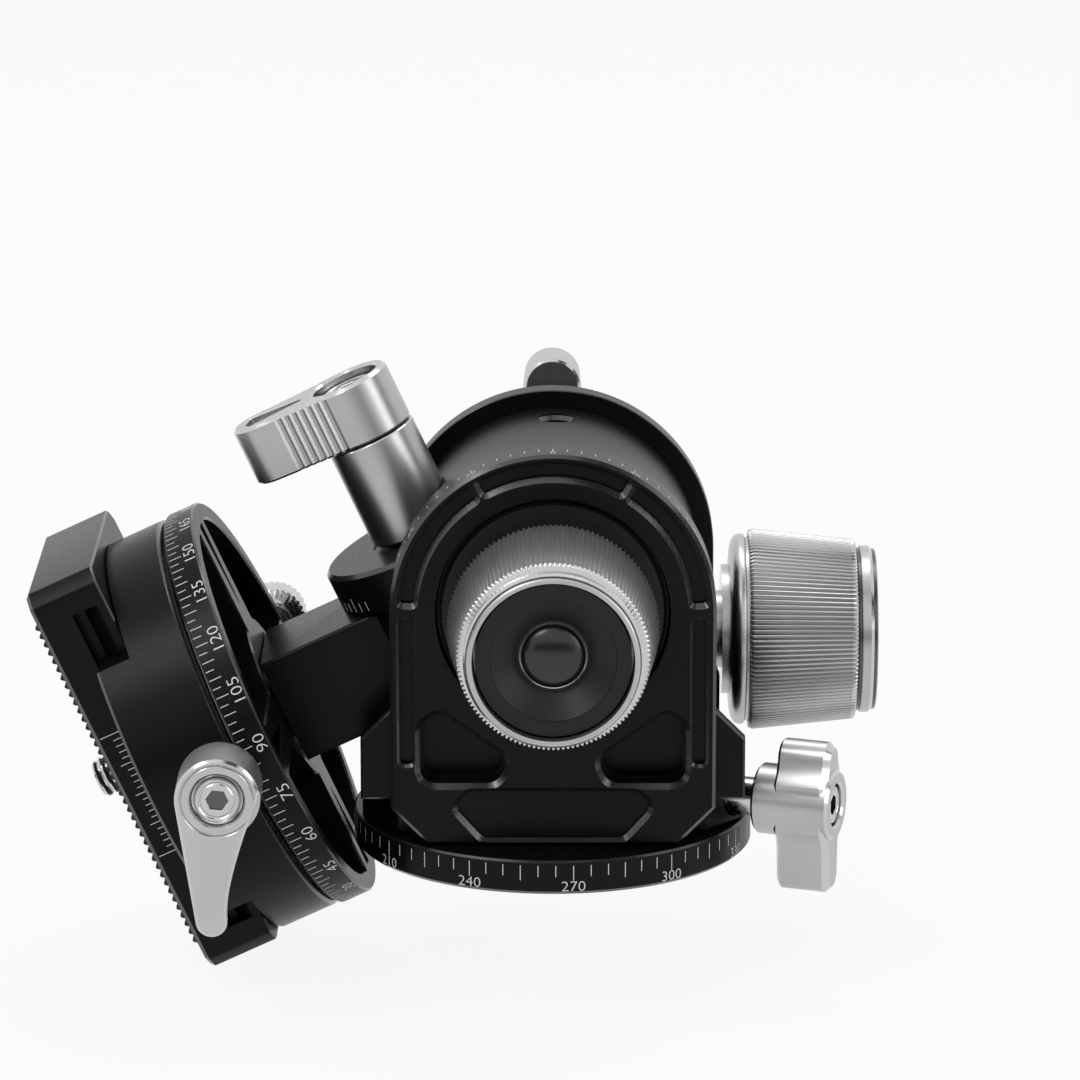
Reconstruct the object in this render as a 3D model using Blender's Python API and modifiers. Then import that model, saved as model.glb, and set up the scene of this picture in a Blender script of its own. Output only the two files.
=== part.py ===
"""Geared tripod head: a pan base, a fork frame with a geared roll drum,
a geared pitch arm across it, and a panning clamp with a quick-release plate.

Metres, +Z up. The origin is on the pan axis, at the base's underside.
"""

import math

import bmesh
import bpy
from mathutils import Euler, Matrix, Vector

# Clearances and cutter overruns
SEAT_GAP = 0.0003
RUNNING_GAP = 0.0001
OVERRUN = 0.001

# Pan base
BASE_RADIUS = 0.030
BASE_HEIGHT = 0.00515
BASE_CHAMFER = 0.001
SPINDLE_RADIUS = 0.008
SPINDLE_FLANGE_RADIUS = 0.013
SPINDLE_FLANGE_THICKNESS = 0.002
SPINDLE_FLANGE_RECESS = 0.0006
SPINDLE_TOP = 0.0118
SOCKET_OUTER_RADIUS = 0.0057
SOCKET_THREAD_RADIUS = 0.0042
SOCKET_DEPTH = 0.009
SPINDLE_SCREW_COUNT = 4
SPINDLE_SCREW_CIRCLE = 0.0106
SPINDLE_SCREW_RADIUS = 0.0011
SPINDLE_SCREW_HEAD_RADIUS = 0.0019
SPINDLE_SCREW_HEAD_HEIGHT = 0.001

# Roll axis and the photographed tilt of the head
ROLL_HEIGHT = 0.0407
REST_TILT = math.radians(115.0)

# Fork frame
ARCH_FRONT = -0.0227
ARCH_BACK = -0.0156
ARCH_RADIUS = 0.024
REAR_WALL_RADIUS = 0.0246
REAR_WALL_FRONT = 0.0165
REAR_WALL_BACK = 0.0205
ARCH_EDGE = 0.0011
ARCH_FOOT_HEIGHT = 0.011
ARCH_FOOT_HALF_WIDTH = 0.0185
FRAME_BOTTOM = BASE_HEIGHT + SEAT_GAP
BLOCK_TOP = 0.0135
BLOCK_HALF_WIDTH = 0.0285
BLOCK_CORNER_HALF_WIDTH = 0.023
BLOCK_SIDE_HALF_DEPTH = 0.0088
EAR_TOP = 0.0248
EAR_SHOULDER = 0.0203
EAR_DEPTH = 0.0024
REAR_EAR_HALF_WIDTH = 0.0257
TROUGH_RADIUS = 0.0273
FRONT_OPENING_RADIUS = 0.0173
PANEL_RADIUS = 0.0206
POCKET_INNER_RADIUS = 0.0209
POCKET_OUTER_RADIUS = 0.0226
POCKET_DEPTH = 0.0012
WEB_POCKET_DEPTH = 0.0032
FOOT_POCKET_DEPTH = 0.0014

# Roll drum and the barrel of the pitch axis
DRUM_RADIUS = 0.022
DRUM_FRONT_JOURNAL_RADIUS = 0.017
DRUM_REAR_JOURNAL_RADIUS = 0.010
FRONT_CAP_RADIUS = 0.0167
FRONT_CAP_THICKNESS = 0.0009
FRONT_CAP_FACE = -0.0217
PITCH_OFFSET = 0.0155
BARREL_RADIUS = 0.0151
BARREL_HALF_LENGTH = 0.015
HUB_HALF_WIDTH = 0.0083
HUB_RADIUS = 0.014
PITCH_SHAFT_RADIUS = 0.005

# Worm gear pairs, both alike
WHEEL_TEETH = 30
WHEEL_PITCH_RADIUS = 0.012
WHEEL_TIP_RADIUS = 0.0125
WHEEL_ROOT_RADIUS = 0.0112
WHEEL_HALF_WIDTH = 0.003
TOOTH_TIP_WIDTH = 0.0006
TOOTH_ROOT_WIDTH = 0.0013
WORM_CORE_RADIUS = 0.0028
WORM_TIP_RADIUS = 0.0041
THREAD_TIP_WIDTH = 0.0006
THREAD_ROOT_WIDTH = 0.0012
THREAD_TURNS = 3
THREAD_STEPS = 12
WORM_BORE_RADIUS = 0.0045
WORM_TAIL = 0.0085
WHEEL_CHAMBER_RADIUS = 0.0131

# Side knob's place, behind the fork's middle
SIDE_KNOB_Y = 0.026
SIDE_KNOB_START = 0.0246
KNOB_SHANK_REACH = 0.0155

# Gear case behind the rear wall
CASE_RADIUS = 0.0158
CASE_BACK = 0.0318
CASE_FLANGE_RADIUS = 0.021
CASE_FLANGE_THICKNESS = 0.0025
CASE_TUBE_RADIUS = 0.0068
CASE_SCREW_ANGLES = [math.radians(angle) for angle in (-105.0, -30.0, 30.0, 105.0)]
CASE_SCREW_CIRCLE = 0.0186
CASE_SCREW_RADIUS = 0.0012
CASE_SCREW_HEAD_RADIUS = 0.0021
CASE_SCREW_HEAD_HEIGHT = 0.0022
CASE_SCREW_REACH = 0.003
ROLL_SHAFT_RADIUS = 0.006
ROLL_SHAFT_START = 0.012

# Geared knob, along its axis from the neck
KNOB_NECK_RADIUS = 0.006
KNOB_NECK_LENGTH = 0.0012
FRONT_NECK_LENGTH = 0.0032
KNOB_FLANGE_RADIUS = 0.010
KNOB_FLANGE_LENGTH = 0.0012
KNOB_COLLAR_RADIUS = 0.0141
KNOB_COLLAR_LENGTH = 0.0022
KNOB_GROOVE_RADIUS = 0.0132
KNOB_GROOVE_LENGTH = 0.0008
KNOB_BIG_RADIUS = 0.0156
KNOB_SMALL_RADIUS = 0.0139
KNOB_GRIP_LENGTH = 0.0162
KNOB_RING_LENGTH = 0.0034
KNOB_RING_RADIUS = 0.0128
KNOB_FACE_RADIUS = 0.0115
KNOB_FACE_DEPTH = 0.0012
KNOB_CONE_RADIUS = 0.0091
KNOB_CONE_DEPTH = 0.0042
KNOB_DOME_RADIUS = 0.0047
KNOB_DOME_HEIGHT = 0.0022
KNOB_EDGE = 0.0005

# Quick-release levers of both tilt axes
LEVER_BOSS_RADIUS = 0.007
LEVER_STEM_RADIUS = 0.0068
LEVER_DEPTH = 0.009
LEVER_TIP_HALF_WIDTH = 0.0043
LEVER_EDGE = 0.0008
LEVER_SOCKET_RADIUS = 0.0052
LEVER_SOCKET_DEPTH = 0.003
LEVER_SCREW_RADIUS = 0.0042
LEVER_SCREW_HEIGHT = 0.0016
HEX_RADIUS = 0.0016
HEX_DEPTH = 0.0009
PITCH_LEVER_START = 0.0314
PITCH_LEVER_REACH = 0.0183
ROLL_LEVER_START = 0.0323
ROLL_LEVER_REACH = 0.0258

# Pan lock, along its radial axis
PAN_LOCK_AZIMUTH = math.radians(-20.0)
PAN_LOCK_Z = 0.0093
PAN_LOCK_SHANK_RADIUS = 0.0029
PAN_LOCK_SCREW_START = 0.0125
PAN_LOCK_BOSS_START = 0.033
PAN_LOCK_BOSS_RADIUS = 0.0053
PAN_LOCK_LENGTH = 0.012
PAN_LOCK_WING_START = 0.0365
PAN_LOCK_WING_LENGTH = 0.008
PAN_LOCK_WING_REACH = 0.0118
PAN_LOCK_WING_HALF_WIDTH = 0.0028
PAN_LOCK_SOCKET_DEPTH = 0.0024
PAN_SHOE_START = 0.0086

# Pitch arm and the scale plate under the clamp
ARM_HALF_WIDTH = 0.0082
ARM_HALF_DEPTH = 0.010
ARM_SLOT_HALF_WIDTH = 0.0045
ARM_SLOT_RADIUS = 0.0132
SCALE_PLATE_RADIUS = 0.032
SCALE_PLATE_BOTTOM = 0.0445
SCALE_PLATE_TOP = 0.0493
SCALE_PLATE_FLOOR = 0.0013
SPOKE_COUNT = 4
SPOKE_HALF_WIDTH = 0.0042
SPOKE_SLOT_HALF_WIDTH = 0.0016
RIM_WIDTH = 0.0028
HUB_PLATE_RADIUS = 0.013
PLATFORM_SCREW_RADIUS = 0.0011
PLATFORM_SCREW_HEAD_RADIUS = 0.002
PLATFORM_SCREW_HEAD_HEIGHT = 0.0013
PLATFORM_SCREW_LENGTH = 0.007
PLATFORM_SCREW_X = 0.0052
PLATFORM_SCREW_Y = 0.0072

# Panning clamp
BEARING_THICKNESS = 0.0004
BEARING_INNER_RADIUS = 0.010
BEARING_OUTER_RADIUS = 0.029
CLAMP_BOTTOM = 0.0501
CLAMP_RADIUS = 0.0317
CLAMP_FLOOR = 0.0588
CLAMP_LIP = 0.0643
CLAMP_JAW_HALF_LENGTH = 0.0205
JAW_SPLIT = 0.0166
PIVOT_RADIUS = 0.004
PIVOT_HEAD_RADIUS = 0.0058
PIVOT_HEAD_HEIGHT = 0.0015
CAM_HEIGHT = 0.0535
CAM_BOLT_RADIUS = 0.0022
GUIDE_PIN_RADIUS = 0.0015
GUIDE_PIN_X = 0.013
GUIDE_PIN_REACH = 0.006
GUIDE_PIN_DEPTH = 0.004

# Clamp lever on the camera side
CAM_BOSS_RADIUS = 0.0062
CAM_BOSS_BACK = -0.0325
CAM_FACE = -0.0422
CAM_ARM_THICKNESS = 0.0036
CAM_TIP_RADIUS = 0.0023
CAM_TIP_X = -0.0162
CAM_TIP_Z = 0.0087
CAM_RING_RADIUS = 0.0047
CAM_RING_DEPTH = 0.0012
CAM_SCREW_RADIUS = 0.0033

# Pan lock knob of the clamp
CLAMP_LOCK_X = 0.003
CLAMP_LOCK_Z = 0.0467
CLAMP_LOCK_RADIUS = 0.005
CLAMP_LOCK_START = 0.0335
CLAMP_LOCK_LENGTH = 0.0085
CLAMP_LOCK_SCREW_RADIUS = 0.0013
CLAMP_LOCK_SCREW_REACH = 0.008

# Quick-release plate
PLATE_HALF_WIDTH = 0.019
PLATE_NECK_HALF_WIDTH = 0.0165
PLATE_LOW = 0.0591
PLATE_FLANGE_TOP = 0.0606
PLATE_SHOULDER = 0.0646
PLATE_TOP = 0.070
PLATE_START = -0.0295
PLATE_END = 0.0340
PLATE_LUG_LENGTH = 0.0052
PLATE_CORNER = 0.0020
PLATE_EDGE = 0.0006
STRIP_Y = 0.0133
STRIP_HALF_WIDTH = 0.0042
STRIP_DEPTH = 0.0008
STRIP_RISE = 0.0007
STRIP_PITCH = 0.0014
STRIP_MARGIN = 0.004
CAMERA_SCREW_RADIUS = 0.0031
CAMERA_SCREW_TOP = 0.0757
CAMERA_SCREW_HEAD_RADIUS = 0.0065
CAMERA_SCREW_HEAD_HEIGHT = 0.0022

# Facets of round pieces
LARGE_SIDES = 32
KNOB_SIDES = 28
SMALL_SIDES = 16
TINY_SIDES = 8

# Turns of a piece modelled along its own Z
UPRIGHT = Euler((0.0, 0.0, 0.0))
ALONG_X = Euler((0.0, math.radians(90.0), 0.0))
ALONG_Y = Euler((math.radians(-90.0), 0.0, 0.0))
TOWARD_VIEWER = Euler((math.radians(90.0), 0.0, 0.0))
# Own Z along X or Y, own X up
ACROSS = Matrix(((0.0, 0.0, 1.0), (0.0, -1.0, 0.0), (1.0, 0.0, 0.0))).to_euler()
BACKWARD = Matrix(((0.0, 1.0, 0.0), (0.0, 0.0, 1.0), (1.0, 0.0, 0.0))).to_euler()
FORWARD = Matrix(((0.0, -1.0, 0.0), (0.0, 0.0, -1.0), (1.0, 0.0, 0.0))).to_euler()
# Own Z along X, own Y up
SECTION = Matrix(((0.0, 0.0, 1.0), (1.0, 0.0, 0.0), (0.0, 1.0, 0.0))).to_euler()

COLOURS = {
    "black": ((0.018, 0.018, 0.019), 0.42, 0.35),
    "matte": ((0.010, 0.010, 0.011), 0.60, 0.10),
    "silver": ((0.62, 0.62, 0.63), 0.32, 0.95),
    "steel": ((0.50, 0.50, 0.51), 0.28, 1.0),
    "brass": ((0.66, 0.49, 0.22), 0.30, 1.0),
    "rubber": ((0.060, 0.043, 0.032), 0.85, 0.0),
    "nylon": ((0.78, 0.76, 0.70), 0.50, 0.0),
    "glossy": ((0.006, 0.006, 0.007), 0.08, 0.2),
}

for old in list(bpy.data.objects):
    bpy.data.objects.remove(old, do_unlink=True)

parts = bpy.data.collections.new("geared_tripod_head")
cutters = bpy.data.collections.new("cutters")
guides = bpy.data.collections.new("guides")
for collection in (parts, cutters, guides):
    bpy.context.scene.collection.children.link(collection)


def material(name, finish):
    """A Principled material with one of the finishes above."""
    colour, roughness, metallic = COLOURS[finish]
    made = bpy.data.materials.new(name)
    made.use_nodes = True
    shader = made.node_tree.nodes["Principled BSDF"]
    shader.inputs["Base Color"].default_value = (*colour, 1.0)
    shader.inputs["Roughness"].default_value = roughness
    shader.inputs["Metallic"].default_value = metallic
    return made


def guide(name, parent=None, location=(0.0, 0.0, 0.0), rotation=UPRIGHT):
    """An empty on a joint axis, which carries the pieces that turn there."""
    empty = bpy.data.objects.new(name, None)
    guides.objects.link(empty)
    empty.parent = parent
    empty.location = location
    empty.rotation_euler = rotation
    empty.hide_render = True
    return empty


def settle(piece, finish, parent, location, rotation):
    """Files a piece among the parts, or among the cutters if it has no finish."""
    piece.parent = parent
    piece.location = location
    piece.rotation_euler = rotation
    if finish is None:
        cutters.objects.link(piece)
        piece.hide_render = True
        piece.display_type = "WIRE"
    else:
        parts.objects.link(piece)
        piece.data.materials.append(material(piece.name, finish))
    return piece


def from_bmesh(name, shape, finish, parent, location, rotation):
    """Turns a bmesh into an object."""
    mesh = bpy.data.meshes.new(name)
    bmesh.ops.recalc_face_normals(shape, faces=shape.faces)
    shape.to_mesh(mesh)
    shape.free()
    piece = bpy.data.objects.new(name, mesh)
    return settle(piece, finish, parent, location, rotation)


def rod(name, radius, start, end, finish=None, parent=None, location=(0.0, 0.0, 0.0),
        rotation=UPRIGHT, sides=SMALL_SIDES, end_radius=None):
    """A cylinder or cone along its own Z, from start to end."""
    shape = bmesh.new()
    bmesh.ops.create_cone(shape, cap_ends=True, segments=sides, radius1=radius,
                          radius2=radius if end_radius is None else end_radius,
                          depth=end - start)
    bmesh.ops.translate(shape, verts=shape.verts, vec=(0.0, 0.0, (start + end) / 2))
    piece = from_bmesh(name, shape, finish, parent, location, rotation)
    smooth(piece)
    return piece


def block(name, low, high, finish=None, parent=None, location=(0.0, 0.0, 0.0),
          rotation=UPRIGHT):
    """A box between two corners."""
    shape = bmesh.new()
    bmesh.ops.create_cube(shape, size=1.0)
    low = Vector(low)
    high = Vector(high)
    size = Matrix.Diagonal((*(high - low), 1.0))
    bmesh.ops.transform(shape, matrix=Matrix.Translation((low + high) / 2) @ size,
                        verts=shape.verts)
    return from_bmesh(name, shape, finish, parent, location, rotation)


def smooth(piece):
    """Smooth shading with sharp creases."""
    piece.data.shade_smooth()
    piece.data.set_sharp_from_angle(angle=math.radians(35.0))


def turned(name, profile, finish=None, parent=None, location=(0.0, 0.0, 0.0),
           rotation=UPRIGHT, sides=LARGE_SIDES, closed=False):
    """A profile of (radius, height) points turned about its own Z.

    The points run down the outer side. A closed profile makes a ring.
    """
    mesh = bpy.data.meshes.new(name)
    count = len(profile)
    edges = [(index, index + 1) for index in range(count - 1)]
    if closed:
        edges.append((count - 1, 0))
    mesh.from_pydata([(radius, 0.0, height) for radius, height in profile], edges, [])
    piece = bpy.data.objects.new(name, mesh)
    settle(piece, finish, parent, location, rotation)
    screw = piece.modifiers.new("turn", "SCREW")
    screw.axis = "Z"
    screw.steps = sides
    screw.render_steps = sides
    screw.use_merge_vertices = True
    screw.merge_threshold = 0.00001
    return piece


def arc(radius, start, end, count, centre=(0.0, 0.0)):
    """Points along an arc, with its angles in radians."""
    points = []
    for index in range(count + 1):
        angle = start + (end - start) * index / count
        points.append((centre[0] + radius * math.cos(angle),
                       centre[1] + radius * math.sin(angle)))
    return points


def mirrored(points):
    """The same outline on the other side of its own Y axis."""
    return [(-x, y) for x, y in reversed(points)]


def plate(name, points, low, high, finish=None, parent=None, location=(0.0, 0.0, 0.0),
          rotation=UPRIGHT, edge=0.0):
    """A flat outline in its own XY, between two heights, with chamfered edges."""
    curve = bpy.data.curves.new(name, "CURVE")
    curve.dimensions = "2D"
    curve.fill_mode = "BOTH"
    curve.extrude = (high - low) / 2 - edge
    curve.bevel_depth = edge
    curve.bevel_resolution = 0
    curve.offset = -edge
    spline = curve.splines.new("POLY")
    spline.points.add(len(points) - 1)
    for point, (x, y) in zip(spline.points, points):
        point.co = (x, y, 0.0, 1.0)
    spline.use_cyclic_u = True
    outline = bpy.data.objects.new(name + "_outline", curve)
    bpy.context.scene.collection.objects.link(outline)
    bpy.context.view_layer.update()
    graph = bpy.context.evaluated_depsgraph_get()
    mesh = bpy.data.meshes.new_from_object(outline.evaluated_get(graph))
    bpy.data.objects.remove(outline, do_unlink=True)
    bpy.data.curves.remove(curve)
    mesh.name = name
    mesh.materials.clear()
    shape = bmesh.new()
    shape.from_mesh(mesh)
    bmesh.ops.remove_doubles(shape, verts=shape.verts, dist=0.000001)
    bmesh.ops.translate(shape, verts=shape.verts, vec=(0.0, 0.0, (low + high) / 2))
    bmesh.ops.recalc_face_normals(shape, faces=shape.faces)
    shape.to_mesh(mesh)
    shape.free()
    piece = bpy.data.objects.new(name, mesh)
    return settle(piece, finish, parent, location, rotation)


def combine(piece, other, operation):
    """Adds a Boolean modifier."""
    boolean = piece.modifiers.new(operation.lower(), "BOOLEAN")
    boolean.operation = operation
    boolean.solver = "EXACT"
    boolean.object = other


def cut(piece, *others):
    """Cuts the others away from a piece."""
    for other in others:
        combine(piece, other, "DIFFERENCE")


def fuse(piece, *others):
    """Adds the others to a piece as one solid."""
    for other in others:
        combine(piece, other, "UNION")


def ring_places(count, radius, turn=0.0):
    """Places evenly round a circle."""
    step = 2 * math.pi / count
    return [(radius * math.cos(turn + step * index), radius * math.sin(turn + step * index))
            for index in range(count)]


# Axes
pan_axis = guide("pan_axis")
roll_axis = guide("roll_axis", location=(0.0, 0.0, ROLL_HEIGHT),
                  rotation=Euler((0.0, -REST_TILT, 0.0)))
frame_roll_axis = guide("frame_roll_axis", location=(0.0, 0.0, ROLL_HEIGHT))
pitch_axis = guide("pitch_axis", roll_axis, (0.0, 0.0, PITCH_OFFSET))
GEAR_CENTRES = PITCH_OFFSET
THREAD_PITCH = 2 * math.pi * WHEEL_PITCH_RADIUS / WHEEL_TEETH
SIDE_KNOB_HEIGHT = ROLL_HEIGHT - GEAR_CENTRES
side_knob_axis = guide("side_knob_axis",
                       location=(SIDE_KNOB_START, SIDE_KNOB_Y, SIDE_KNOB_HEIGHT))
pan_lock_axis = guide("pan_lock_axis", location=(0.0, 0.0, PAN_LOCK_Z),
                      rotation=Euler((0.0, 0.0, PAN_LOCK_AZIMUTH)))
cam_axis = guide("cam_axis", roll_axis, (0.0, 0.0, CAM_HEIGHT))
clamp_lock_axis = guide("clamp_lock_axis", roll_axis, (CLAMP_LOCK_X, 0.0, CLAMP_LOCK_Z))


def make_base():
    """The pan disc, its spindle and the tripod socket."""
    flange_top = SPINDLE_FLANGE_RECESS + SPINDLE_FLANGE_THICKNESS
    hole = SPINDLE_RADIUS + SEAT_GAP
    counterbore = SPINDLE_FLANGE_RADIUS + SEAT_GAP
    top_edge = BASE_CHAMFER * 0.35
    disc = turned("pan_base", [
        (hole, BASE_HEIGHT),
        (BASE_RADIUS - top_edge, BASE_HEIGHT),
        (BASE_RADIUS, BASE_HEIGHT - top_edge),
        (BASE_RADIUS, BASE_CHAMFER),
        (BASE_RADIUS - BASE_CHAMFER, 0.0),
        (counterbore, 0.0),
        (counterbore, flange_top + SEAT_GAP),
        (hole, flange_top + SEAT_GAP),
    ], "black", pan_axis, closed=True)
    spindle = turned("pan_spindle", [
        (0.0, SPINDLE_TOP),
        (SPINDLE_RADIUS, SPINDLE_TOP),
        (SPINDLE_RADIUS, flange_top),
        (SPINDLE_FLANGE_RADIUS, flange_top),
        (SPINDLE_FLANGE_RADIUS, SPINDLE_FLANGE_RECESS),
        (0.0, SPINDLE_FLANGE_RECESS),
    ], "steel", pan_axis)
    cut(spindle, rod("socket_cut", SOCKET_OUTER_RADIUS + SEAT_GAP, -OVERRUN,
                     SPINDLE_FLANGE_RECESS + SOCKET_DEPTH))
    turned("tripod_bushing", [
        (SOCKET_THREAD_RADIUS, SOCKET_DEPTH),
        (SOCKET_OUTER_RADIUS, SOCKET_DEPTH),
        (SOCKET_OUTER_RADIUS, SPINDLE_FLANGE_RECESS),
        (SOCKET_THREAD_RADIUS, SPINDLE_FLANGE_RECESS),
    ], "brass", pan_axis, sides=SMALL_SIDES, closed=True)
    tip = flange_top + SEAT_GAP + SPINDLE_SCREW_HEAD_HEIGHT
    for index, (x, y) in enumerate(ring_places(SPINDLE_SCREW_COUNT, SPINDLE_SCREW_CIRCLE,
                                               math.radians(45.0))):
        rod(f"spindle_screw_{index + 1}", SPINDLE_SCREW_HEAD_RADIUS, SPINDLE_FLANGE_RECESS,
            tip, "steel", pan_axis, (x, y, 0.0), sides=TINY_SIDES,
            end_radius=SPINDLE_SCREW_RADIUS)
        hole = rod("spindle_screw_cut", SPINDLE_SCREW_HEAD_RADIUS + SEAT_GAP,
                   SPINDLE_FLANGE_RECESS - SEAT_GAP, tip + SEAT_GAP,
                   location=(x, y, 0.0), sides=TINY_SIDES,
                   end_radius=SPINDLE_SCREW_RADIUS + SEAT_GAP)
        cut(spindle, hole)
        cut(disc, hole)


def arch_outline(radius):
    """The fork wall's outline: a round top on straight sides and a narrow foot."""
    points = [(-ARCH_FOOT_HALF_WIDTH, FRAME_BOTTOM), (ARCH_FOOT_HALF_WIDTH, FRAME_BOTTOM),
              (radius, ARCH_FOOT_HEIGHT)]
    points += arc(radius, 0.0, math.pi, LARGE_SIDES // 2, (0.0, ROLL_HEIGHT))
    points += [(-radius, ARCH_FOOT_HEIGHT)]
    return points


def wall(name, points, front, back, finish=None, edge=0.0):
    """A plate whose outline is in X and Z, between two places in Y."""
    return plate(name, points, -back, -front, finish, None, (0.0, 0.0, 0.0),
                 TOWARD_VIEWER, edge)


def sector(inner, outer, start, end):
    """A part of a ring round the roll axis, with its angles from straight up."""
    quarter = math.pi / 2
    first = quarter - start
    last = quarter - end
    steps = TINY_SIDES - 2
    centre = (0.0, ROLL_HEIGHT)
    return arc(outer, first, last, steps, centre) + arc(inner, last, first, steps, centre)


def face_pocket(name, points, depth):
    """A shallow recess in the front of the fork."""
    return wall(name, points, ARCH_FRONT - OVERRUN, ARCH_FRONT + depth)


def make_frame():
    """The fork frame that turns on the base and carries the roll drum."""
    frame = wall("fork_frame", arch_outline(ARCH_RADIUS), ARCH_FRONT, ARCH_BACK, "black",
                 ARCH_EDGE)
    rear = wall("rear_wall", arch_outline(REAR_WALL_RADIUS), REAR_WALL_FRONT,
                REAR_WALL_BACK, edge=ARCH_EDGE * 0.5)
    corner_depth = -ARCH_BACK + SEAT_GAP
    plan = [(-BLOCK_CORNER_HALF_WIDTH, -corner_depth),
            (BLOCK_CORNER_HALF_WIDTH, -corner_depth),
            (BLOCK_HALF_WIDTH, -BLOCK_SIDE_HALF_DEPTH),
            (BLOCK_HALF_WIDTH, BLOCK_SIDE_HALF_DEPTH),
            (BLOCK_CORNER_HALF_WIDTH, REAR_WALL_FRONT + SEAT_GAP),
            (-BLOCK_CORNER_HALF_WIDTH, REAR_WALL_FRONT + SEAT_GAP),
            (-BLOCK_HALF_WIDTH, BLOCK_SIDE_HALF_DEPTH),
            (-BLOCK_HALF_WIDTH, -BLOCK_SIDE_HALF_DEPTH)]
    foot = plate("foot_block", plan, FRAME_BOTTOM, BLOCK_TOP)
    ear = [(-BLOCK_HALF_WIDTH, ARCH_FOOT_HEIGHT), (BLOCK_HALF_WIDTH, ARCH_FOOT_HEIGHT),
           (BLOCK_HALF_WIDTH, EAR_SHOULDER), (ARCH_RADIUS, EAR_TOP),
           (-ARCH_RADIUS, EAR_TOP), (-BLOCK_HALF_WIDTH, EAR_SHOULDER)]
    front_ear = wall("front_ear", ear, ARCH_BACK - EAR_DEPTH, ARCH_BACK)
    slim = [(min(max(x, -REAR_EAR_HALF_WIDTH), REAR_EAR_HALF_WIDTH), z) for x, z in ear]
    rear_ear = wall("rear_ear", slim, REAR_WALL_FRONT, REAR_WALL_FRONT + EAR_DEPTH)
    fuse(frame, foot, front_ear, rear_ear, rear)
    trough = rod("trough_cut", TROUGH_RADIUS, ARCH_BACK, REAR_WALL_FRONT,
                 location=(0.0, 0.0, ROLL_HEIGHT), rotation=ALONG_Y, sides=LARGE_SIDES)
    opening = rod("opening_cut", FRONT_OPENING_RADIUS, ARCH_FRONT - OVERRUN,
                  ARCH_BACK + OVERRUN, location=(0.0, 0.0, ROLL_HEIGHT), rotation=ALONG_Y,
                  sides=LARGE_SIDES)
    rear_hole = rod("rear_hole_cut", DRUM_REAR_JOURNAL_RADIUS + RUNNING_GAP,
                    REAR_WALL_FRONT - OVERRUN, REAR_WALL_BACK + OVERRUN,
                    location=(0.0, 0.0, ROLL_HEIGHT), rotation=ALONG_Y, sides=LARGE_SIDES)
    spindle_bore = rod("spindle_bore_cut", SPINDLE_RADIUS + RUNNING_GAP, 0.0,
                       SPINDLE_TOP + SEAT_GAP, sides=LARGE_SIDES)
    lock_bore = rod("lock_bore_cut", PAN_LOCK_SHANK_RADIUS + SEAT_GAP, 0.0,
                    PAN_LOCK_BOSS_START, parent=pan_lock_axis, rotation=ALONG_X)
    cut(frame, trough, opening, rear_hole, spindle_bore, lock_bore)
    spans = [(math.radians(-29.0), math.radians(29.0)),
             (math.radians(33.0), math.radians(86.0)),
             (math.radians(-86.0), math.radians(-33.0))]
    for start, end in spans:
        cut(frame, face_pocket("rim_pocket_cut",
                               sector(POCKET_INNER_RADIUS, POCKET_OUTER_RADIUS, start, end),
                               POCKET_DEPTH))
    side_top = ROLL_HEIGHT - (POCKET_OUTER_RADIUS - POCKET_INNER_RADIUS) / 2
    side_low = PANEL_RADIUS * 0.86
    side = [(POCKET_INNER_RADIUS, side_low), (POCKET_OUTER_RADIUS, side_low),
            (POCKET_OUTER_RADIUS, side_top), (POCKET_INNER_RADIUS, side_top)]
    web = [(PANEL_RADIUS * share_x, ROLL_HEIGHT * share_z)
           for share_x, share_z in WEB_POCKET_SHARES]
    for name, points, depth in (("side_pocket_cut", side, POCKET_DEPTH),
                                ("web_pocket_cut", web, WEB_POCKET_DEPTH)):
        cut(frame, face_pocket(name, points, depth))
        cut(frame, face_pocket(name, mirrored(points), depth))
    half = [(PANEL_RADIUS * share_x, ROLL_HEIGHT * share_z)
            for share_x, share_z in FOOT_POCKET_SHARES]
    cut(frame, face_pocket("foot_pocket_cut", half + mirrored(half), FOOT_POCKET_DEPTH))
    return frame


# Corners of the web pocket, as shares of the panel radius and the roll height
WEB_POCKET_SHARES = [(0.40, 0.361), (0.95, 0.361), (0.95, 0.58), (0.815, 0.634),
                     (0.315, 0.45)]
# Right-hand corners of the foot pocket, shared the same way
FOOT_POCKET_SHARES = [(0.50, 0.155), (0.71, 0.273), (0.607, 0.332)]


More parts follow.
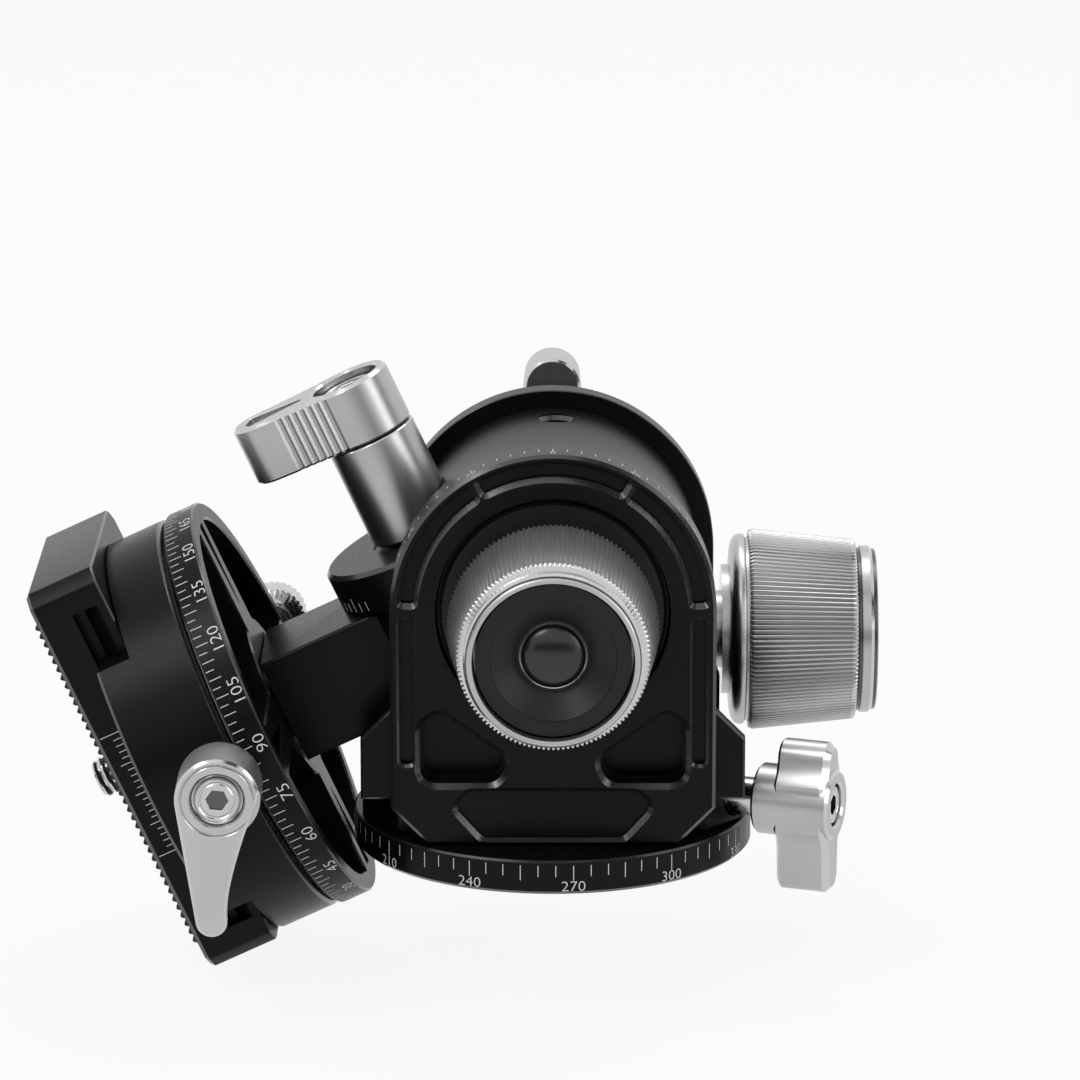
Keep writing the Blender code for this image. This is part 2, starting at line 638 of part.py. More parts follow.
def gear_wheel(name, bore, finish, parent, location, rotation):
    """A worm wheel about its own Z, with a tooth gap at its own -X side.

    Its teeth lean with the worm's thread.
    """
    step = 2 * math.pi / WHEEL_TEETH
    lean = THREAD_PITCH / (2 * math.pi * (GEAR_CENTRES - WHEEL_PITCH_RADIUS))
    twist = lean / WHEEL_PITCH_RADIUS
    shape = bmesh.new()
    rings = []
    for height in (-WHEEL_HALF_WIDTH, WHEEL_HALF_WIDTH):
        ring = []
        for tooth in range(WHEEL_TEETH):
            middle = math.pi + step * (tooth + 0.5) + twist * height
            root = TOOTH_ROOT_WIDTH / 2 / WHEEL_ROOT_RADIUS
            tip = TOOTH_TIP_WIDTH / 2 / WHEEL_TIP_RADIUS
            for radius, angle in ((WHEEL_ROOT_RADIUS, -root), (WHEEL_TIP_RADIUS, -tip),
                                  (WHEEL_TIP_RADIUS, tip), (WHEEL_ROOT_RADIUS, root)):
                ring.append(shape.verts.new((radius * math.cos(middle + angle),
                                             radius * math.sin(middle + angle), height)))
        rings.append(ring)
    count = len(rings[0])
    for index in range(count):
        after = (index + 1) % count
        shape.faces.new((rings[0][index], rings[0][after], rings[1][after],
                         rings[1][index]))
    shape.faces.new(list(reversed(rings[0])))
    shape.faces.new(rings[1])
    wheel = from_bmesh(name, shape, finish, parent, location, rotation)
    cut(wheel, rod(name + "_bore_cut", bore, -WHEEL_HALF_WIDTH - OVERRUN,
                   WHEEL_HALF_WIDTH + OVERRUN, parent=parent, location=location,
                   rotation=rotation))
    return wheel


def thread(name, parent, location, rotation):
    """The worm's ridge: a right-hand helix about its own Z.

    Over its own +X side the ridge passes its own origin height.
    """
    shape = bmesh.new()
    rings = []
    sunk = WORM_CORE_RADIUS - SEAT_GAP
    steps = THREAD_TURNS * THREAD_STEPS
    for index in range(steps + 1):
        turn = index / THREAD_STEPS - THREAD_TURNS / 2
        angle = 2 * math.pi * turn
        height = THREAD_PITCH * turn
        ring = []
        for radius, shift in ((sunk, -THREAD_ROOT_WIDTH / 2),
                              (WORM_TIP_RADIUS, -THREAD_TIP_WIDTH / 2),
                              (WORM_TIP_RADIUS, THREAD_TIP_WIDTH / 2),
                              (sunk, THREAD_ROOT_WIDTH / 2)):
            ring.append(shape.verts.new((radius * math.cos(angle), radius * math.sin(angle),
                                         height + shift)))
        rings.append(ring)
    for before, after in zip(rings, rings[1:]):
        for index in range(4):
            other = (index + 1) % 4
            shape.faces.new((before[index], before[other], after[other], after[index]))
    shape.faces.new(list(reversed(rings[0])))
    shape.faces.new(rings[-1])
    return from_bmesh(name, shape, None, parent, location, rotation)


def worm(name, tail, head, finish, parent, location, rotation):
    """A worm on its shaft, along its own Z from tail to head."""
    shaft = rod(name, WORM_CORE_RADIUS, tail, head, finish, parent, location, rotation,
                sides=THREAD_STEPS)
    fuse(shaft, thread(name + "_ridge", parent, location, rotation))
    return shaft


def make_knob(prefix, parent, location, rotation, neck):
    """A geared knob: knurled grip, dished cap and glossy dome, along its own Z."""
    flange = neck + KNOB_FLANGE_LENGTH
    collar = flange + KNOB_COLLAR_LENGTH
    groove = collar + KNOB_GROOVE_LENGTH
    grip_end = groove + KNOB_GRIP_LENGTH
    face = grip_end + KNOB_RING_LENGTH
    floor = face - KNOB_CONE_DEPTH - SEAT_GAP * 4
    grip = turned(prefix + "_grip", [
        (KNOB_FACE_RADIUS, face),
        (KNOB_RING_RADIUS, face),
        (KNOB_SMALL_RADIUS - KNOB_EDGE, grip_end + KNOB_EDGE),
        (KNOB_SMALL_RADIUS, grip_end),
        (KNOB_BIG_RADIUS, groove),
        (KNOB_GROOVE_RADIUS, groove),
        (KNOB_GROOVE_RADIUS, collar),
        (KNOB_COLLAR_RADIUS, collar),
        (KNOB_COLLAR_RADIUS - KNOB_EDGE, collar - KNOB_COLLAR_LENGTH / 2),
        (KNOB_COLLAR_RADIUS - KNOB_EDGE * 3, flange),
        (KNOB_FLANGE_RADIUS, flange),
        (KNOB_FLANGE_RADIUS, neck),
        (KNOB_NECK_RADIUS, neck),
        (KNOB_NECK_RADIUS, 0.0),
        (WORM_CORE_RADIUS + SEAT_GAP, 0.0),
        (WORM_CORE_RADIUS + SEAT_GAP, floor),
        (KNOB_FACE_RADIUS, floor),
    ], "silver", parent, location, rotation, KNOB_SIDES, True)
    turned(prefix + "_cap", [
        (KNOB_CONE_RADIUS, face - KNOB_FACE_DEPTH),
        (KNOB_FACE_RADIUS - SEAT_GAP, face - KNOB_FACE_DEPTH),
        (KNOB_FACE_RADIUS - SEAT_GAP, floor + SEAT_GAP),
        (KNOB_DOME_RADIUS + SEAT_GAP, floor + SEAT_GAP),
        (KNOB_DOME_RADIUS + SEAT_GAP, face - KNOB_CONE_DEPTH),
    ], "matte", parent, location, rotation, KNOB_SIDES, True)
    rise = face - KNOB_CONE_DEPTH + KNOB_DOME_HEIGHT
    dome = [(0.0, rise)]
    dome += [(KNOB_DOME_RADIUS * math.sin(angle), rise - KNOB_DOME_HEIGHT * 0.5
              * (1 - math.cos(angle))) for angle in (0.4, 0.8, 1.2)]
    dome += [(KNOB_DOME_RADIUS, rise - KNOB_DOME_HEIGHT * 0.5),
             (KNOB_DOME_RADIUS, floor + SEAT_GAP),
             (0.0, floor + SEAT_GAP)]
    turned(prefix + "_dome", dome, "glossy", parent, location, rotation,
           sides=SMALL_SIDES)
    return grip


def make_roll_drive():
    """The side knob's worm, the wheel on the drum's shaft, and the case round them."""
    make_knob("side_knob", side_knob_axis, (SEAT_GAP, 0.0, 0.0), ALONG_X,
              KNOB_NECK_LENGTH)
    shank = SIDE_KNOB_START + KNOB_SHANK_REACH
    worm("roll_worm", -WORM_TAIL, shank, "steel", None,
         (0.0, SIDE_KNOB_Y, SIDE_KNOB_HEIGHT), ACROSS)
    gear_wheel("roll_wheel", ROLL_SHAFT_RADIUS + SEAT_GAP, "brass", frame_roll_axis,
               (0.0, SIDE_KNOB_Y, 0.0), BACKWARD)
    rod("roll_shaft", ROLL_SHAFT_RADIUS, ROLL_SHAFT_START, ROLL_LEVER_START - SEAT_GAP,
        "steel", frame_roll_axis, rotation=ALONG_Y)
    front = REAR_WALL_BACK + SEAT_GAP
    case = rod("gear_case", CASE_RADIUS, front, CASE_BACK, "black", frame_roll_axis,
               rotation=ALONG_Y, sides=LARGE_SIDES)
    flange = rod("case_flange", CASE_FLANGE_RADIUS, front, front + CASE_FLANGE_THICKNESS,
                 parent=frame_roll_axis, rotation=ALONG_Y, sides=LARGE_SIDES)
    tube = rod("case_tube", CASE_TUBE_RADIUS, -WORM_TAIL - CASE_TUBE_RADIUS * 0.4,
               SIDE_KNOB_START, location=(0.0, SIDE_KNOB_Y, SIDE_KNOB_HEIGHT),
               rotation=ALONG_X)
    fuse(case, flange, tube)
    front_keep = block("case_front_cut", (-BASE_RADIUS, 0.0, 0.0),
                       (BASE_RADIUS, front, ROLL_HEIGHT + BASE_RADIUS))
    back_keep = block("case_back_cut", (-BASE_RADIUS, CASE_BACK, 0.0),
                      (BASE_RADIUS, CASE_BACK + BASE_RADIUS, ROLL_HEIGHT + BASE_RADIUS))
    chamber = rod("wheel_chamber_cut", WHEEL_CHAMBER_RADIUS, front - OVERRUN,
                  SIDE_KNOB_Y + WHEEL_HALF_WIDTH + SEAT_GAP, parent=frame_roll_axis,
                  rotation=ALONG_Y, sides=LARGE_SIDES)
    shaft_hole = rod("roll_shaft_cut", ROLL_SHAFT_RADIUS + SEAT_GAP, front,
                     CASE_BACK + OVERRUN, parent=frame_roll_axis, rotation=ALONG_Y)
    worm_bore = rod("roll_worm_cut", WORM_BORE_RADIUS, -WORM_TAIL - SEAT_GAP,
                    SIDE_KNOB_START + OVERRUN,
                    location=(0.0, SIDE_KNOB_Y, SIDE_KNOB_HEIGHT), rotation=ALONG_X)
    cut(case, front_keep, back_keep, chamber, shaft_hole, worm_bore)
    bush_end = SIDE_KNOB_START - SEAT_GAP
    bush_start = bush_end - WORM_TAIL
    rod_bush("roll_worm_bush", bush_start, bush_end,
             (0.0, SIDE_KNOB_Y, SIDE_KNOB_HEIGHT), ALONG_X, None)
    places = [(CASE_SCREW_CIRCLE * math.sin(angle), CASE_SCREW_CIRCLE * math.cos(angle))
              for angle in CASE_SCREW_ANGLES]
    head_seat = front + CASE_FLANGE_THICKNESS + SEAT_GAP
    tip = REAR_WALL_BACK - CASE_SCREW_REACH
    for index, (x, z) in enumerate(places):
        where = (x, 0.0, z)
        hole = rod("case_screw_cut", CASE_SCREW_RADIUS + SEAT_GAP, tip - SEAT_GAP,
                   head_seat + OVERRUN, parent=frame_roll_axis, location=where,
                   rotation=ALONG_Y, sides=TINY_SIDES)
        head_room = rod("case_head_cut", CASE_SCREW_HEAD_RADIUS + SEAT_GAP,
                        head_seat - SEAT_GAP, CASE_BACK + OVERRUN, parent=frame_roll_axis,
                        location=where, rotation=ALONG_Y, sides=TINY_SIDES)
        cut(case, hole, head_room)
        cut(bpy.data.objects["fork_frame"], hole)
        screw = rod(f"gear_case_screw_{index + 1}", CASE_SCREW_RADIUS, tip,
                    head_seat + SEAT_GAP, "steel", frame_roll_axis, where, ALONG_Y,
                    TINY_SIDES)
        fuse(screw, rod("case_screw_head", CASE_SCREW_HEAD_RADIUS, head_seat,
                        head_seat + CASE_SCREW_HEAD_HEIGHT, parent=frame_roll_axis,
                        location=where, rotation=ALONG_Y, sides=TINY_SIDES))


def rod_bush(name, start, end, location, rotation, parent):
    """A brass bush round a worm's shaft."""
    turned(name, [
        (WORM_CORE_RADIUS + SEAT_GAP, end),
        (WORM_BORE_RADIUS - SEAT_GAP, end),
        (WORM_BORE_RADIUS - SEAT_GAP, start),
        (WORM_CORE_RADIUS + SEAT_GAP, start),
    ], "brass", parent, location, rotation, sides=THREAD_STEPS, closed=True)


def make_drum():
    """The roll drum with the barrel of the pitch axis across it."""
    front = ARCH_BACK + SEAT_GAP
    back = REAR_WALL_FRONT - SEAT_GAP
    drum = rod("roll_drum", DRUM_RADIUS, front, back, "black", roll_axis,
               rotation=ALONG_Y, sides=LARGE_SIDES)
    cap_seat = FRONT_CAP_FACE + FRONT_CAP_THICKNESS
    journal = rod("front_journal", DRUM_FRONT_JOURNAL_RADIUS, cap_seat + SEAT_GAP,
                  front + OVERRUN, parent=roll_axis, rotation=ALONG_Y, sides=LARGE_SIDES)
    rear_journal = rod("rear_journal", DRUM_REAR_JOURNAL_RADIUS, back - OVERRUN,
                       REAR_WALL_BACK, parent=roll_axis, rotation=ALONG_Y,
                       sides=LARGE_SIDES)
    barrel = rod("barrel_body", BARREL_RADIUS, -BARREL_HALF_LENGTH, BARREL_HALF_LENGTH,
                 parent=pitch_axis, rotation=ALONG_X, sides=LARGE_SIDES)
    fuse(drum, journal, rear_journal, barrel)
    slot_half = HUB_HALF_WIDTH + SEAT_GAP
    slot = rod("hub_slot_cut", HUB_RADIUS + SEAT_GAP, -slot_half, slot_half,
               parent=pitch_axis, rotation=ALONG_X, sides=LARGE_SIDES)
    throat = block("hub_throat_cut",
                   (-slot_half, -BARREL_RADIUS - OVERRUN, 0.0),
                   (slot_half, BARREL_RADIUS + OVERRUN, BARREL_RADIUS + OVERRUN),
                   parent=pitch_axis)
    shaft_bore = rod("pitch_bore_cut", PITCH_SHAFT_RADIUS + SEAT_GAP,
                     -BARREL_HALF_LENGTH - OVERRUN, BARREL_HALF_LENGTH + OVERRUN,
                     parent=pitch_axis, rotation=ALONG_X)
    worm_bore = rod("pitch_worm_cut", WORM_BORE_RADIUS, cap_seat - OVERRUN,
                    WORM_TAIL + SEAT_GAP, parent=roll_axis, rotation=ALONG_Y)
    shaft_hole = rod("drum_shaft_cut", ROLL_SHAFT_RADIUS + SEAT_GAP,
                     ROLL_SHAFT_START - SEAT_GAP, REAR_WALL_BACK + OVERRUN,
                     parent=roll_axis, rotation=ALONG_Y)
    stem_room = rod("stem_room_cut", LEVER_STEM_RADIUS + SEAT_GAP, BARREL_HALF_LENGTH,
                    DRUM_RADIUS + OVERRUN, parent=pitch_axis, rotation=ALONG_X)
    cut(drum, slot, throat, shaft_bore, worm_bore, shaft_hole, stem_room)
    turned("drum_front_cap", [
        (KNOB_NECK_RADIUS + SEAT_GAP, -FRONT_CAP_FACE),
        (FRONT_CAP_RADIUS - SEAT_GAP, -FRONT_CAP_FACE),
        (FRONT_CAP_RADIUS, -FRONT_CAP_FACE - SEAT_GAP),
        (FRONT_CAP_RADIUS, -cap_seat),
        (KNOB_NECK_RADIUS + SEAT_GAP, -cap_seat),
    ], "matte", roll_axis, rotation=TOWARD_VIEWER, closed=True)
    rod_bush("pitch_worm_bush", -cap_seat - WORM_TAIL, -cap_seat - SEAT_GAP * 2,
             (0.0, 0.0, 0.0), TOWARD_VIEWER, roll_axis)
    return drum


def make_pitch_drive():
    """The front knob's worm along the roll axis and the wheel on the pitch shaft."""
    knob_start = FRONT_CAP_FACE - SEAT_GAP
    make_knob("front_knob", roll_axis, (0.0, knob_start, 0.0), TOWARD_VIEWER,
              FRONT_NECK_LENGTH)
    worm("pitch_worm", -WORM_TAIL, KNOB_SHANK_REACH - knob_start, "steel", roll_axis,
         (0.0, 0.0, 0.0), FORWARD)
    gear_wheel("pitch_wheel", PITCH_SHAFT_RADIUS + SEAT_GAP, "brass", pitch_axis,
               (0.0, 0.0, 0.0), ACROSS)
    rod("pitch_shaft", PITCH_SHAFT_RADIUS, -BARREL_HALF_LENGTH, BARREL_HALF_LENGTH,
        "steel", pitch_axis, rotation=ALONG_X)


def lever(name, start, reach, parent, rotation):
    """A quick-release lever: a round boss and one fluted wing toward its own +X."""
    half = LEVER_TIP_HALF_WIDTH
    tip = reach - half
    side = math.asin((LEVER_BOSS_RADIUS - half) / tip)
    top = math.pi / 2 - side
    points = arc(half, -top, top, TINY_SIDES, (tip, 0.0))
    points += arc(LEVER_BOSS_RADIUS, top, 2 * math.pi - top, SMALL_SIDES)
    piece = plate(name, points, start, start + LEVER_DEPTH, "silver", parent,
                  rotation=rotation, edge=LEVER_EDGE)
    socket = rod(name + "_socket_cut", LEVER_SOCKET_RADIUS,
                 start + LEVER_DEPTH - LEVER_SOCKET_DEPTH, start + LEVER_DEPTH + OVERRUN,
                 parent=parent, rotation=rotation)
    cut(piece, socket)
    floor = start + LEVER_DEPTH - LEVER_SOCKET_DEPTH + SEAT_GAP
    screw = rod(name + "_screw", LEVER_SCREW_RADIUS, floor, floor + LEVER_SCREW_HEIGHT,
                "steel", parent, rotation=rotation)
    cut(screw, rod(name + "_hex_cut", HEX_RADIUS, floor + LEVER_SCREW_HEIGHT - HEX_DEPTH,
                   floor + LEVER_SCREW_HEIGHT + OVERRUN, parent=parent, rotation=rotation,
                   sides=6))
    return piece


def make_levers():
    """The quick-release levers of the pitch axis and of the roll axis."""
    lever("pitch_lever", PITCH_LEVER_START, PITCH_LEVER_REACH, pitch_axis, ACROSS)
    rod("pitch_lever_stem", LEVER_STEM_RADIUS, BARREL_HALF_LENGTH + SEAT_GAP,
        PITCH_LEVER_START - SEAT_GAP, "silver", pitch_axis, rotation=ALONG_X)
    lever("roll_lever", ROLL_LEVER_START, ROLL_LEVER_REACH, frame_roll_axis, BACKWARD)


def make_pan_lock():
    """The two-winged pan lock, its screw and the shoe that grips the spindle."""
    rod("pan_lock_screw", PAN_LOCK_SHANK_RADIUS, PAN_LOCK_SCREW_START,
        PAN_LOCK_BOSS_START - SEAT_GAP, "steel", pan_lock_axis, rotation=ALONG_X)
    half = PAN_LOCK_WING_HALF_WIDTH
    end = PAN_LOCK_WING_REACH - half
    outline = arc(half, -math.pi / 2, math.pi / 2, 8, (end, 0.0))
    outline += arc(half, math.pi / 2, math.pi * 1.5, 8, (-end, 0.0))
    knob = plate("pan_lock_knob", outline, PAN_LOCK_WING_START,
                 PAN_LOCK_WING_START + PAN_LOCK_WING_LENGTH, "silver", pan_lock_axis,
                 rotation=ACROSS, edge=LEVER_EDGE)
    face = PAN_LOCK_BOSS_START + PAN_LOCK_LENGTH
    boss = turned("pan_lock_boss", [
        (0.0, face),
        (PAN_LOCK_BOSS_RADIUS - KNOB_EDGE, face),
        (PAN_LOCK_BOSS_RADIUS, face - KNOB_EDGE),
        (PAN_LOCK_BOSS_RADIUS, PAN_LOCK_BOSS_START + KNOB_EDGE),
        (PAN_LOCK_BOSS_RADIUS - KNOB_EDGE, PAN_LOCK_BOSS_START),
        (0.0, PAN_LOCK_BOSS_START),
    ], None, pan_lock_axis, rotation=ALONG_X, sides=SMALL_SIDES)
    fuse(knob, boss)
    cut(knob, rod("pan_lock_socket_cut", PAN_LOCK_SHANK_RADIUS + SEAT_GAP,
                  face - PAN_LOCK_SOCKET_DEPTH, face + OVERRUN, parent=pan_lock_axis,
                  rotation=ALONG_X))
    floor = face - PAN_LOCK_SOCKET_DEPTH + SEAT_GAP
    cap = rod("pan_lock_cap_screw", PAN_LOCK_SHANK_RADIUS, floor,
              floor + LEVER_SCREW_HEIGHT, "steel", pan_lock_axis, rotation=ALONG_X)
    cut(cap, rod("pan_lock_hex_cut", HEX_RADIUS, floor + LEVER_SCREW_HEIGHT - HEX_DEPTH,
                 floor + LEVER_SCREW_HEIGHT + OVERRUN, parent=pan_lock_axis,
                 rotation=ALONG_X, sides=6))
    rod("pan_lock_shoe", PAN_LOCK_SHANK_RADIUS, PAN_SHOE_START,
        PAN_LOCK_SCREW_START - SEAT_GAP, "brass", pan_lock_axis, rotation=ALONG_X)


def make_arm():
    """The forked arm on the pitch shaft and the spoked scale plate on it."""
    arm_top = SCALE_PLATE_BOTTOM - SEAT_GAP
    arm = block("tilt_arm", (-ARM_HALF_WIDTH, -ARM_HALF_DEPTH, PITCH_OFFSET),
                (ARM_HALF_WIDTH, ARM_HALF_DEPTH, arm_top), "black", roll_axis)
    hub = rod("arm_hub", HUB_RADIUS, -HUB_HALF_WIDTH, HUB_HALF_WIDTH, parent=pitch_axis,
              rotation=ALONG_X, sides=LARGE_SIDES)
    fuse(arm, hub)
    slot = rod("arm_slot_cut", ARM_SLOT_RADIUS, -ARM_SLOT_HALF_WIDTH, ARM_SLOT_HALF_WIDTH,
               parent=pitch_axis, rotation=ALONG_X, sides=LARGE_SIDES)
    mouth = block("arm_mouth_cut",
                  (-ARM_SLOT_HALF_WIDTH, -HUB_RADIUS - OVERRUN, -HUB_RADIUS - OVERRUN),
                  (ARM_SLOT_HALF_WIDTH, HUB_RADIUS + OVERRUN, 0.0), parent=pitch_axis)
    bore = rod("arm_bore_cut", PITCH_SHAFT_RADIUS + SEAT_GAP, -HUB_HALF_WIDTH - OVERRUN,
               HUB_HALF_WIDTH + OVERRUN, parent=pitch_axis, rotation=ALONG_X)
    head_pocket = rod("pivot_head_cut", PIVOT_HEAD_RADIUS + SEAT_GAP,
                      arm_top - PIVOT_HEAD_HEIGHT - SEAT_GAP, arm_top + OVERRUN,
                      parent=roll_axis)
    cut(arm, slot, mouth, bore, head_pocket)
    edge = SEAT_GAP * 1.5
    disc = turned("scale_plate", [
        (0.0, SCALE_PLATE_TOP),
        (SCALE_PLATE_RADIUS - edge, SCALE_PLATE_TOP),
        (SCALE_PLATE_RADIUS, SCALE_PLATE_TOP - edge),
        (SCALE_PLATE_RADIUS, SCALE_PLATE_BOTTOM + edge),
        (SCALE_PLATE_RADIUS - edge, SCALE_PLATE_BOTTOM),
        (0.0, SCALE_PLATE_BOTTOM),
    ], "black", roll_axis)
    cut(disc, rod("pivot_bore_cut", PIVOT_RADIUS + RUNNING_GAP,
                  SCALE_PLATE_BOTTOM - OVERRUN, SCALE_PLATE_TOP + OVERRUN,
                  parent=roll_axis))
    rim = SCALE_PLATE_RADIUS - RIM_WIDTH
    step = 2 * math.pi / SPOKE_COUNT
    pocket_top = SCALE_PLATE_TOP - SCALE_PLATE_FLOOR
    for index in range(SPOKE_COUNT):
        middle = step * (index + 0.5)
        outer_half = step / 2 - math.asin(SPOKE_HALF_WIDTH / rim)
        inner_half = step / 2 - math.asin(SPOKE_HALF_WIDTH / HUB_PLATE_RADIUS)
        outline = arc(rim, middle - outer_half, middle + outer_half, TINY_SIDES)
        outline += arc(HUB_PLATE_RADIUS, middle + inner_half, middle - inner_half, 3)
        cut(disc, plate("plate_pocket_cut", outline, SCALE_PLATE_BOTTOM - OVERRUN,
                        pocket_top, parent=roll_axis))
        angle = step * index
        slot_outline = [(rim, SPOKE_SLOT_HALF_WIDTH),
                        (HUB_PLATE_RADIUS, 0.0),
                        (rim, -SPOKE_SLOT_HALF_WIDTH)]
        cut(disc, plate("spoke_slot_cut", slot_outline, SCALE_PLATE_BOTTOM - OVERRUN,
                        pocket_top, parent=roll_axis, rotation=Euler((0.0, 0.0, angle))))
    lock_hole = rod("clamp_lock_cut", CLAMP_LOCK_SCREW_RADIUS + SEAT_GAP,
                    CLAMP_LOCK_START - CLAMP_LOCK_SCREW_REACH - SEAT_GAP,
                    SCALE_PLATE_RADIUS + OVERRUN, parent=clamp_lock_axis,
                    rotation=ALONG_Y, sides=TINY_SIDES)
    cut(disc, lock_hole)
    places = [(PLATFORM_SCREW_X * a, PLATFORM_SCREW_Y * b)
              for a in (-1.0, 1.0) for b in (-1.0, 1.0)]
    head_low = SCALE_PLATE_TOP - PLATFORM_SCREW_HEAD_HEIGHT - SEAT_GAP
    tip = head_low - PLATFORM_SCREW_LENGTH
    for index, (x, y) in enumerate(places):
        where = (x, y, 0.0)
        hole = rod("platform_screw_cut", PLATFORM_SCREW_RADIUS + SEAT_GAP, tip - SEAT_GAP,
                   SCALE_PLATE_TOP, parent=roll_axis, location=where, sides=TINY_SIDES)
        room = rod("platform_head_cut", PLATFORM_SCREW_HEAD_RADIUS + SEAT_GAP,
                   head_low - SEAT_GAP, SCALE_PLATE_TOP + OVERRUN, parent=roll_axis,
                   location=where, sides=TINY_SIDES)
        cut(arm, hole)
        cut(disc, hole, room)
        screw = rod(f"platform_screw_{index + 1}", PLATFORM_SCREW_RADIUS, tip,
                    head_low + SEAT_GAP, "steel", roll_axis, where, sides=TINY_SIDES)
        fuse(screw, rod("platform_screw_head", PLATFORM_SCREW_HEAD_RADIUS, head_low,
                        head_low + PLATFORM_SCREW_HEAD_HEIGHT, parent=roll_axis,
                        location=where, sides=TINY_SIDES))
    knob = turned("clamp_lock_knob", [
        (0.0, CLAMP_LOCK_START + CLAMP_LOCK_LENGTH),
        (CLAMP_LOCK_RADIUS - KNOB_EDGE, CLAMP_LOCK_START + CLAMP_LOCK_LENGTH),
        (CLAMP_LOCK_RADIUS, CLAMP_LOCK_START + CLAMP_LOCK_LENGTH - KNOB_EDGE),
        (CLAMP_LOCK_RADIUS, CLAMP_LOCK_START + CLAMP_LOCK_LENGTH * 0.3),
        (CLAMP_LOCK_RADIUS * 0.62, CLAMP_LOCK_START + CLAMP_LOCK_LENGTH * 0.24),
        (CLAMP_LOCK_RADIUS * 0.62, CLAMP_LOCK_START),
        (CLAMP_LOCK_SCREW_RADIUS, CLAMP_LOCK_START),
        (CLAMP_LOCK_SCREW_RADIUS, CLAMP_LOCK_START - CLAMP_LOCK_SCREW_REACH),
        (0.0, CLAMP_LOCK_START - CLAMP_LOCK_SCREW_REACH),
    ], "silver", clamp_lock_axis, rotation=ALONG_Y, sides=SMALL_SIDES)
    return arm, disc, knob


def plate_profile(grow):
    """The dovetail's outline across the plate, grown all round, right half first."""
    wide = PLATE_HALF_WIDTH + grow
    neck = PLATE_NECK_HALF_WIDTH + grow
    slope = PLATE_HALF_WIDTH - PLATE_NECK_HALF_WIDTH
    right = [(wide, PLATE_LOW - grow), (wide, PLATE_FLANGE_TOP + grow * 0.4),
             (neck, PLATE_FLANGE_TOP + slope + grow * 0.4)]
    return right, neck, wide


